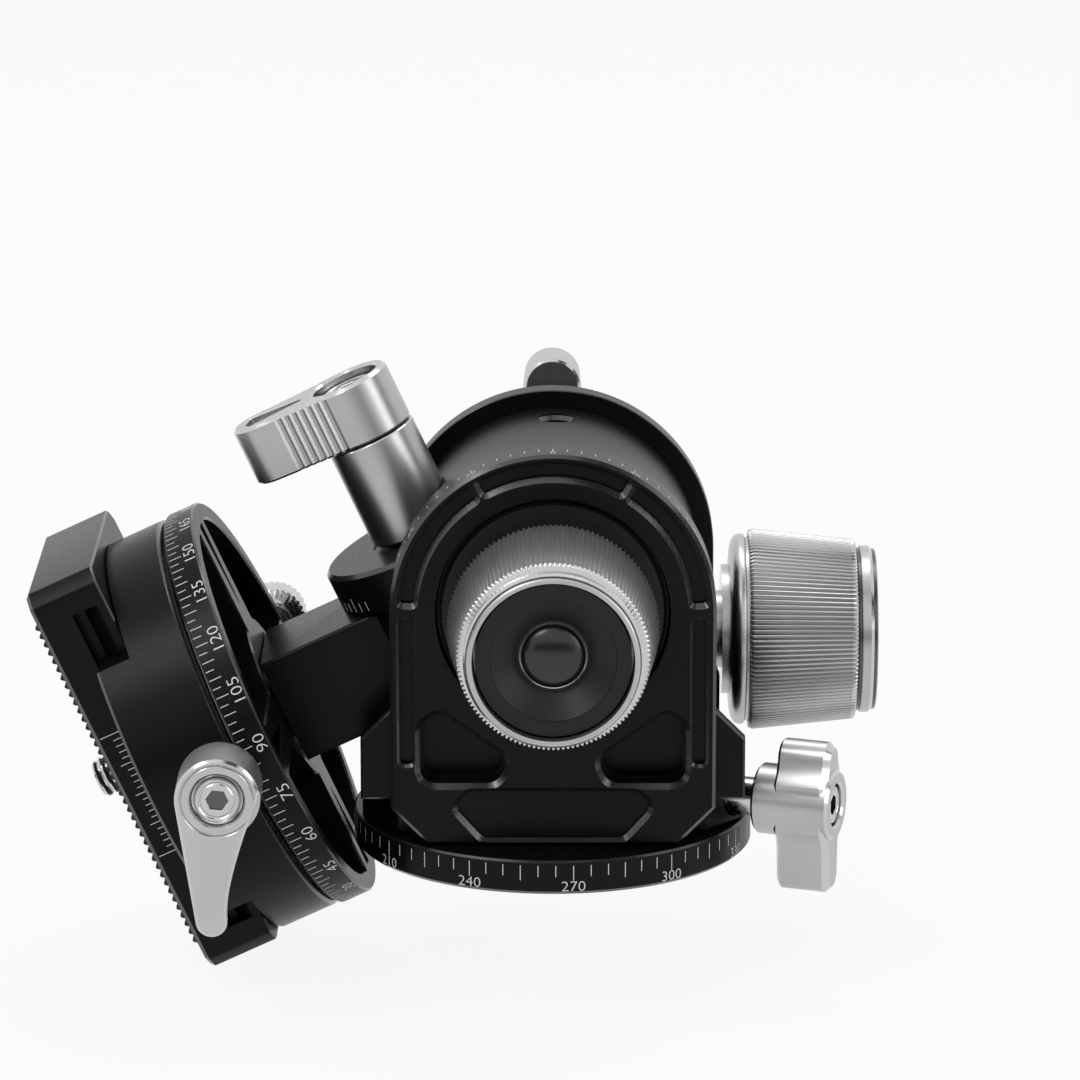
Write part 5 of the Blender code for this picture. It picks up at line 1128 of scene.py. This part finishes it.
def make_scale_plate():
    """The spoked scale plate with its dial."""
    low, high = extent("scale_plate", HEAD)
    plate = turned("scale_ring", rod(high.x, low.z, high.z, SMALL_EDGE, SMALL_EDGE), HEAD,
                   BLACK, FINE_STEPS)
    outer, inner = [45.0 - math.degrees(math.asin(SPOKE_HALF / radius))
                    for radius in (SPOKE_RIM, SPOKE_HUB)]
    slot = rounded([(SPOKE_RIM, SPOKE_SLOT_HALF), (SPOKE_SLOT_START, 0.0),
                    (SPOKE_RIM, -SPOKE_SLOT_HALF)], SPOKE_SLOT_CORNER)
    floor = SPOKE_WEB - high.z
    down = HEAD @ turn(180.0, "X")
    cutters = [hole(SCALE_BORE, low.z, high.z, HEAD)]
    for quarter in (0.0, 90.0, 180.0, 270.0):
        middle = 45.0 + quarter
        outline = arc(SPOKE_RIM, middle - outer, middle + outer, 3 * ARC_STEPS)
        outline += arc(SPOKE_HUB, middle + inner, middle - inner, ARC_STEPS)
        cutters.append(pocket(rounded(outline, SPOKE_CORNER), floor, -low.z, SMALL_EDGE, down))
        cutters.append(pocket(slot, floor, -low.z, FINE_EDGE, down @ turn(quarter, "Z")))
    shaped(plate, cutters)
    dress(plate, "tilt", "black_anodised", "scale_plate")
    make_dial("clamp_scale", "scale_plate", HEAD, "tilt", zero=-85.0, step=2.5, every=5.0,
              lengths=(1.3, 1.9), drop=0.35, numbered=15.0, rise=0.4, height=1.75)


# Panning clamp

CLAMP_RADIUS = 31.7
CLAMP_BOTTOM = 50.1
CLAMP_FLOOR = 58.8
CLAMP_LIP = 64.3
CLAMP_JAW_HALF = 20.5
CLAMP_BORE = 4.3
JAW_SPLIT = 16.6
CAM_BORE = 2.5
CAM_BORE_WALL = 4.0
DOVETAIL_LIFT = 0.12
PLATE_HALF = 19.0
PLATE_NECK = 16.5
PLATE_LOW = 59.1
PLATE_FLANGE = 60.6
PLATE_SHOULDER = 64.6
PLATE_TOP = 70.0


def clamp_blank(name):
    """The clamp's round body with its channel and its ends cut."""
    wide = PLATE_HALF + GAP
    neck = PLATE_NECK + GAP
    lift = PLATE_FLANGE + DOVETAIL_LIFT
    above = CLAMP_LIP + OVER
    reach = CLAMP_RADIUS + OVER
    right = [(wide, PLATE_LOW - GAP), (wide, lift), (neck, lift + wide - neck),
             (neck, CLAMP_LIP - SMALL_EDGE), (neck + SMALL_EDGE, CLAMP_LIP),
             (neck + SMALL_EDGE, above)]
    inner = CLAMP_JAW_HALF - SMALL_EDGE
    end = [(CLAMP_JAW_HALF, CLAMP_FLOOR), (reach, CLAMP_FLOOR), (reach, above),
           (inner, above), (inner, CLAMP_LIP), (CLAMP_JAW_HALF, CLAMP_LIP - SMALL_EDGE)]
    cutters = []
    for outline, place in ((right + mirrored(right), SECTION), (mirrored(end), FRONT), (end, FRONT)):
        cutters.append(slab("cutter", outline, [(-reach, 0.0), (reach, 0.0)], HEAD @ place, BLACK))
    return shaped(turned(name, rod(CLAMP_RADIUS, CLAMP_BOTTOM, CLAMP_LIP), HEAD, BLACK,
                         FINE_STEPS), cutters)


def make_clamp():
    """The panning clamp with its fixed front jaw and its sliding rear jaw."""
    body = clamp_blank("clamp_turned")
    jaw = clamp_blank("jaw_turned")
    bottom = CLAMP_BOTTOM - OVER
    above = CLAMP_LIP + OVER
    reach = CLAMP_RADIUS + OVER
    place = CAM @ FRONT
    shaped(body, [box((-reach, JAW_SPLIT - GAP, bottom), (reach, reach, above), HEAD),
                  hole(CLAMP_BORE, bottom, CLAMP_FLOOR, HEAD, SMALL_EDGE),
                  hole(CAM_BORE, -JAW_SPLIT - OVER, reach, place)])
    shaped(jaw, [box((-reach, -reach, bottom), (reach, JAW_SPLIT, above), HEAD),
                 hole(CAM_BORE, CAM_BORE_WALL - CLAMP_RADIUS, -JAW_SPLIT + OVER, place)])
    dress(body, "clamp", "black_anodised", "clamp_body")
    dress(jaw, "jaw", "black_anodised", "clamp_jaw")


# Cam lever, with a table of (radius, height from the lever's face, finish)

CAM_ARM = 3.6
CAM_FACE_EDGE = 0.4
CAM_BOSS = 6.2
CAM_TIP = Vector((-16.2, 8.7))
CAM_TIP_RADIUS = 2.3
CAM_WAIST_SHARE = 0.60
CAM_WAIST_HALF = 2.75
CAM_BLEND = 25.0
CAM_RECESS = (5.35, 0.25, 0.1)
CAM_SOCKET = (4.7, 1.2, 0.2)
CAM_RINGS = [(5.18, -0.22), (5.18, -0.08, 1), (5.1, 0.0), (4.15, 0.0, 1), (3.98, -0.2, 1),
             (3.7, -0.85, 1), (3.4, -0.95), (3.4, -1.15), (4.6, -1.15), (4.65, -0.22)]
CAM_SCREW = 3.3


def cam_outline():
    """The lever's teardrop outline, with a hollow in its upper side."""
    direction = math.degrees(math.atan2(CAM_TIP.y, CAM_TIP.x))
    square = 90.0 - lean_of(CAM_BOSS, CAM_TIP_RADIUS, CAM_TIP.length)
    outline = arc(CAM_TIP_RADIUS, direction - square, direction + square, 2 * ARC_STEPS,
                  tuple(CAM_TIP))
    side = Vector((-CAM_TIP.y, CAM_TIP.x)).normalized()
    waist = CAM_TIP * CAM_WAIST_SHARE + side * CAM_WAIST_HALF
    joins_at = direction + square + CAM_BLEND
    begin = Vector(outline[-1])
    end = Vector(polar(CAM_BOSS, joins_at))
    outline += bend(begin, waist * 2 - (begin + end) / 2, end, 2 * ARC_STEPS)[1:-1]
    return outline + arc(CAM_BOSS, joins_at, direction + 360.0 - square, 4 * ARC_STEPS)


def make_cam_lever():
    """The clamp's lever with polished rings round its hexagon screw."""
    place = CAM @ FRONT
    finishes = [BLASTED, POLISHED]
    low, high = extent("cam_lever", CAM)
    face = -low.y
    back = -high.y
    lever = slab("cam_handle", cam_outline(), levels_between(
        face - CAM_ARM, face, SMALL_EDGE, CAM_FACE_EDGE), place, finishes)
    boss = rod(CAM_BOSS, back, face - CAM_ARM / 2, EDGE, 0.0)
    shaped(lever, [turned("boss", boss, place, finishes)], "UNION")
    radius, depth, edge = CAM_RECESS
    inner, floor, mouth = CAM_SOCKET
    shaped(lever, [hole(radius, face - depth, face, place, edge, TURN_STEPS),
                   hole(inner, face - floor, face - mouth, place, 0.0, TURN_STEPS),
                   hole(CAM_BORE, back - OVER, face, place)])
    dress(lever, "cam_lever", "silver", "cam_lever")
    ring = turned("cam_lever_rings", raised(CAM_RINGS, face), place, finishes, ring=True)
    dress(ring, "cam_lever", "silver")
    hex_screw("cam_screw", place, "cam_lever", CAM_SCREW)


# Clamp lock

KNURL_LENGTH = 5.6
CLAMP_LOCK_RIBS = 30
CLAMP_LOCK_RIB_DEPTH = 0.22
CLAMP_LOCK_DIMPLE = (2.4, 2.6, 0.5)
CLAMP_LOCK_BREAK = (0.6, 0.5, 0.4)
CLAMP_LOCK_NECK = (3.1, 0.6, 33.5)
CLAMP_LOCK_SHANK = 1.3


def make_clamp_lock():
    """The small knurled knob that locks the clamp's panning."""
    place = CLAMP_LOCK @ turn(-90.0, "X")
    low, high = extent("clamp_lock_knob", place)
    radius = high.x
    top = high.z
    start = top - KNURL_LENGTH
    floor, mouth, depth = CLAMP_LOCK_DIMPLE
    face, side, under = CLAMP_LOCK_BREAK
    neck, drop, seat = CLAMP_LOCK_NECK
    made = turned("clamp_lock_turned", [
        (0.0, top - depth), (floor, top - depth), (mouth, top, 1), (radius - face, top, 1),
        (radius, top - side), (radius, start + under), (radius - side, start, 1),
        (neck, start - drop), (neck, seat), (CLAMP_LOCK_SHANK, seat),
        (CLAMP_LOCK_SHANK, low.z), (0.0, low.z),
    ], place, [TURNED, POLISHED], 6 * CLAMP_LOCK_RIBS,
        waved=ribbed(radius, CLAMP_LOCK_RIBS, CLAMP_LOCK_RIB_DEPTH))
    dress(made, "clamp_lock", "silver", "clamp_lock_knob")


# Quick-release plate

PLATE_CORNER = 2.0
PLATE_ROUNDING = 1.0
PLATE_TOP_EDGE = 0.6
PLATE_LUG = 5.2
PLATE_BORE = 3.4
HEAD_ROOM = 6.8
HEAD_ROOM_DEPTH = 3.1
PLATE_SCALE_HALF = 10
PLATE_SCALE_EVERY = 5
PLATE_SCALE_RISE = 0.4
PLATE_STROKES = (2.5, 3.2, 4.2)
RIDGE_PITCH = 1.4
RIDGE_BREAK = 0.08
RIDGE_POINTS = ((0.36, RIDGE_BREAK, 1), (0.5, 0.0, 1), (0.64, RIDGE_BREAK, 0))


def make_plate():
    """The quick-release plate, its ridged strips, its side scale and the screw."""
    low, high = extent("release_plate", HEAD)
    start = low.x
    end = high.x
    inside = PLATE_HALF - PLATE_CORNER
    plan = [(start + PLATE_CORNER, -PLATE_HALF), (end - PLATE_CORNER, -PLATE_HALF),
            (end, -inside), (end, inside), (end - PLATE_CORNER, PLATE_HALF),
            (start + PLATE_CORNER, PLATE_HALF), (start, inside), (start, -inside)]
    plate = slab("plate_body", rounded(plan, PLATE_ROUNDING, 3), levels_between(
        PLATE_LOW, PLATE_TOP, SMALL_EDGE, PLATE_TOP_EDGE), HEAD, BLACK)
    outside = PLATE_HALF + OVER
    notch = [(outside, PLATE_FLANGE), (outside, PLATE_SHOULDER),
             (PLATE_NECK, PLATE_SHOULDER),
             (PLATE_NECK, PLATE_FLANGE + PLATE_HALF - PLATE_NECK),
             (PLATE_HALF, PLATE_FLANGE)]
    cutters = [slab("cutter", outline, [(start + PLATE_LUG, 0.0), (end - PLATE_LUG, 0.0)],
                    HEAD @ SECTION, BLACK) for outline in (notch, mirrored(notch))]
    cutters.append(hole(PLATE_BORE, PLATE_LOW - OVER, PLATE_TOP, HEAD, SMALL_EDGE))
    cutters.append(hole(HEAD_ROOM, -PLATE_LOW - HEAD_ROOM_DEPTH, -PLATE_LOW,
                        HEAD @ turn(180.0, "X"), SMALL_EDGE))
    for node in ("front_grip_strip", "rear_grip_strip"):
        first, last = extent(node, HEAD)
        cutters.append(box((first.x - GAP, first.y - GAP, first.z - GAP),
                           (last.x + GAP, last.y + GAP, PLATE_TOP + OVER), HEAD))
        ridged_strip(node)
    shaped(plate, cutters)
    dress(plate, "plate", "black_anodised", "release_plate")
    bottom = PLATE_SHOULDER + PLATE_SCALE_RISE
    short, medium, long = PLATE_STROKES
    strokes = []
    for value in range(-PLATE_SCALE_HALF, PLATE_SCALE_HALF + 1):
        length = medium if value % PLATE_SCALE_EVERY == 0 else short
        if abs(value) == PLATE_SCALE_HALF:
            length = long
        strokes.append((value, bottom, bottom + length))
    side = HEAD @ FRONT @ Matrix.Translation((0.0, 0.0, PLATE_HALF))
    marks("plate_scale", strokes, [], 0.0, side, "plate")
    make_camera_screw()


def ridged_strip(node):
    """A grip strip with sharp ridges across it."""
    low, high = extent(node, HEAD)
    shape = bmesh.new()
    profile = [(low.x, low.z, 0)]
    for index in range(round((high.x - low.x) / RIDGE_PITCH)):
        x = low.x + index * RIDGE_PITCH
        profile.append((x, PLATE_TOP, 0))
        profile += [(x + RIDGE_PITCH * share, high.z - drop, choice)
                    for share, drop, choice in RIDGE_POINTS]
    profile += [(high.x, PLATE_TOP, 0), (high.x, low.z, 0)]
    rings = [[shape.verts.new((x, y, z)) for x, z, _ in profile] for y in (low.y, high.y)]
    size = len(profile)
    for index in range(size):
        after = (index + 1) % size
        face = shape.faces.new((rings[0][index], rings[0][after], rings[1][after], rings[1][index]))
        face.material_index = profile[index][2]
    shape.faces.new(list(reversed(rings[0])))
    shape.faces.new(rings[1])
    made = settle(node + "_ridged", shape, HEAD, [RUBBER, CORK])
    dress(made, "plate", "grip_rubber", node)


SCREW_RADIUS = 3.1
SCREW_PITCH = 1.27
SCREW_TURNS = 8
SCREW_THREAD_DEPTH = 0.45
SCREW_TIP = (0.5, 0.2, 0.4)
SCREW_HEAD = 2.2
SCREW_HEAD_BREAK = 0.2
SCREW_SLOT = 0.8
SCREW_RUNOUT = 0.1


def make_camera_screw():
    """The camera screw with its thread and slotted head."""
    low, high = extent("camera_screw", HEAD)
    head = high.x
    bottom = low.z
    head_top = bottom + SCREW_HEAD
    core = SCREW_RADIUS - SCREW_THREAD_DEPTH
    inset, lead, first = SCREW_TIP
    start = high.z - first
    end = start - SCREW_TURNS * SCREW_PITCH
    profile = [(0.0, high.z), (SCREW_RADIUS - inset, high.z), (core, high.z - lead)]
    profile += thread_points(SCREW_RADIUS, start, end)
    profile += [(core, end - SCREW_RUNOUT), (core, head_top), (head - EDGE, head_top, 1),
                (head, head_top - EDGE), (head, bottom + SCREW_HEAD_BREAK, 1),
                (head - SCREW_HEAD_BREAK, bottom), (0.0, bottom)]
    made = turned("camera_screw_threaded", profile, HEAD, [STEEL, POLISHED], SMALL_STEPS,
                  waved=helix(SCREW_RADIUS, SCREW_THREAD_DEPTH, SCREW_PITCH))
    shaped(made, [box((-head - OVER, -SCREW_SLOT, bottom - OVER),
                      (head + OVER, SCREW_SLOT, bottom + SCREW_SLOT), HEAD)])
    dress(made, "camera_screw", "steel", "camera_screw")


# CAD nodes that stay and aren't steel, with their slots and finishes
KEPT = {node: ("brass", BRASS) for node in (
    "roll_worm_bush", "pitch_worm_bush", "roll_wheel", "pitch_wheel", "pan_lock_shoe")}
KEPT["clamp_bearing"] = ("nylon", NYLON)


def finish_kept():
    """Gives every CAD node that stays a finish of its own."""
    for node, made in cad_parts.items():
        if made.hide_render:
            continue
        slot, choice = KEPT.get(node, ("steel", PLAIN_STEEL))
        made.data.materials.clear()
        made.data.materials.append(choice)


make_base()
make_fork()
make_case()
make_knob("front_knob", HEAD @ FRONT, start=22.0, neck=3.2)
make_knob("side_knob", SIDE_KNOB @ ACROSS, start=24.9, neck=1.2)
make_levers()
make_pan_lock()
make_drum()
make_arm()
make_scale_plate()
make_clamp()
make_cam_lever()
make_clamp_lock()
make_plate()
finish_kept()


# Floor, light and camera, in metres

WHITE = (1.0, 1.0, 1.0, 1.0)
PALE = (0.86, 0.86, 0.86, 1.0)
DARK = (0.03, 0.03, 0.03, 1.0)
WORLD_LIGHT = 0.45
WORLD_SEEN = 1.0
FLOOR_ROUGHNESS = 0.9
FLOOR_GLOW = 0.9
FLOOR_DROP = 0.004
FLOOR_SIZE = 12.0
CENTRE = (0.0, 0.0, 0.04)
# Name, place and size
FLAGS = (("front_flag", (0.0, -1.3, 0.12), (2.0, 0.35)),
         ("left_flag", (-0.9, -0.5, 0.15), (0.35, 0.5)),
         ("high_flag", (0.3, -0.25, 0.75), (0.45, 0.3)),
         ("right_flag", (1.0, -0.1, 0.3), (0.35, 0.6)))
# Name, place, size and power
LAMPS = (("key", (-0.5, -0.45, 0.75), (0.5, 0.35), 2.6),
         ("fill", (0.7, -0.35, 0.35), (0.3, 0.5), 1.0),
         ("top", (0.1, 0.35, 0.8), (0.6, 0.3), 1.8))
CAMERA_TILT = 14.5
CAMERA_DISTANCE = 0.890
CAMERA_LENS = 198.0
CAMERA_NEAR = 0.01
CAMERA_TARGET = Vector((-0.0019, 0.0, 0.0461))


def seen_by(nodes, link):
    """The share of rays that see the plain white background."""
    rays = nodes.new("ShaderNodeLightPath").outputs
    source = rays["Is Camera Ray"]
    for kind in ("Is Glossy Ray", "Is Transmission Ray"):
        either = nodes.new("ShaderNodeMath")
        either.operation = "MAXIMUM"
        link(source, either.inputs[0])
        link(rays[kind], either.inputs[1])
        source = either.outputs[0]
    return source


def mixed(nodes, link, share, first, second, target):
    """Mixes two shaders by a share, into a target socket."""
    mix = nodes.new("ShaderNodeMixShader")
    link(share, mix.inputs["Fac"])
    link(first.outputs[0], mix.inputs[1])
    link(second.outputs[0], mix.inputs[2])
    link(mix.outputs[0], target)


def make_world():
    """A white background and a soft, dimmer light from all round."""
    world = bpy.data.worlds.new("studio")
    bpy.context.scene.world = world
    world.use_nodes = True
    nodes = world.node_tree.nodes
    link = world.node_tree.links.new
    nodes.clear()
    soft, white = [with_inputs(nodes.new("ShaderNodeBackground"), {
        "Color": WHITE, "Strength": strength}) for strength in (WORLD_LIGHT, WORLD_SEEN)]
    output = nodes.new("ShaderNodeOutputWorld")
    mixed(nodes, link, seen_by(nodes, link), soft, white, output.inputs["Surface"])


def card(name, size, made):
    """A flat square card on the stage."""
    shape = bmesh.new()
    bmesh.ops.create_grid(shape, x_segments=1, y_segments=1, size=size / 2)
    placed = mesh_object(name, shape, [made])
    return placed


def make_floor(lowest):
    """A plain pale floor that keeps a soft shadow."""
    made, shader = new_material("floor", {"Base Color": PALE, "Roughness": FLOOR_ROUGHNESS})
    nodes = made.node_tree.nodes
    link = made.node_tree.links.new
    glow = with_inputs(nodes.new("ShaderNodeEmission"), {"Color": WHITE})
    share = with_inputs(nodes.new("ShaderNodeMath"), {1: FLOOR_GLOW})
    share.operation = "MULTIPLY"
    link(seen_by(nodes, link), share.inputs[0])
    mixed(nodes, link, share.outputs[0], shader, glow, nodes["Material Output"].inputs["Surface"])
    card("floor", FLOOR_SIZE, made).location = (0.0, 0.0, lowest - FLOOR_DROP)


def aim(made, place, axis):
    """Places an object with one of its axes toward the middle of the head."""
    made.location = place
    toward = Vector(CENTRE) - Vector(place)
    made.rotation_euler = toward.to_track_quat(axis, "Y").to_euler()


def make_flag(name, place, size):
    """A dark card that only metal and gloss reflect."""
    made = card(name, 1.0, new_material(name, {"Base Color": DARK})[0])
    made.scale = (*size, 1.0)
    aim(made, place, "Z")
    made.visible_camera = False
    made.visible_diffuse = False
    made.visible_shadow = False


def lamp(name, place, size, power):
    """A soft box turned toward the head."""
    light = bpy.data.lights.new(name, "AREA")
    light.shape = "RECTANGLE"
    light.size, light.size_y = size
    light.energy = power
    made = add_object(name, light)
    aim(made, place, "-Z")


def make_camera():
    """The camera at the photograph's angle."""
    camera = bpy.data.cameras.new("camera")
    camera.lens = CAMERA_LENS
    camera.clip_start = CAMERA_NEAR
    made = add_object("camera", camera)
    tilt = math.radians(CAMERA_TILT)
    away = Vector((0.0, -math.cos(tilt), math.sin(tilt)))
    made.location = CAMERA_TARGET + away * CAMERA_DISTANCE
    made.rotation_euler = (math.pi / 2 - tilt, 0.0, 0.0)
    bpy.context.scene.camera = made


make_world()
visual_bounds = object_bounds()
make_floor(visual_bounds[0].z)
for flag in FLAGS:
    make_flag(*flag)
for light in LAMPS:
    lamp(*light)
make_camera()
bpy.context.scene.view_settings.view_transform = "Standard"
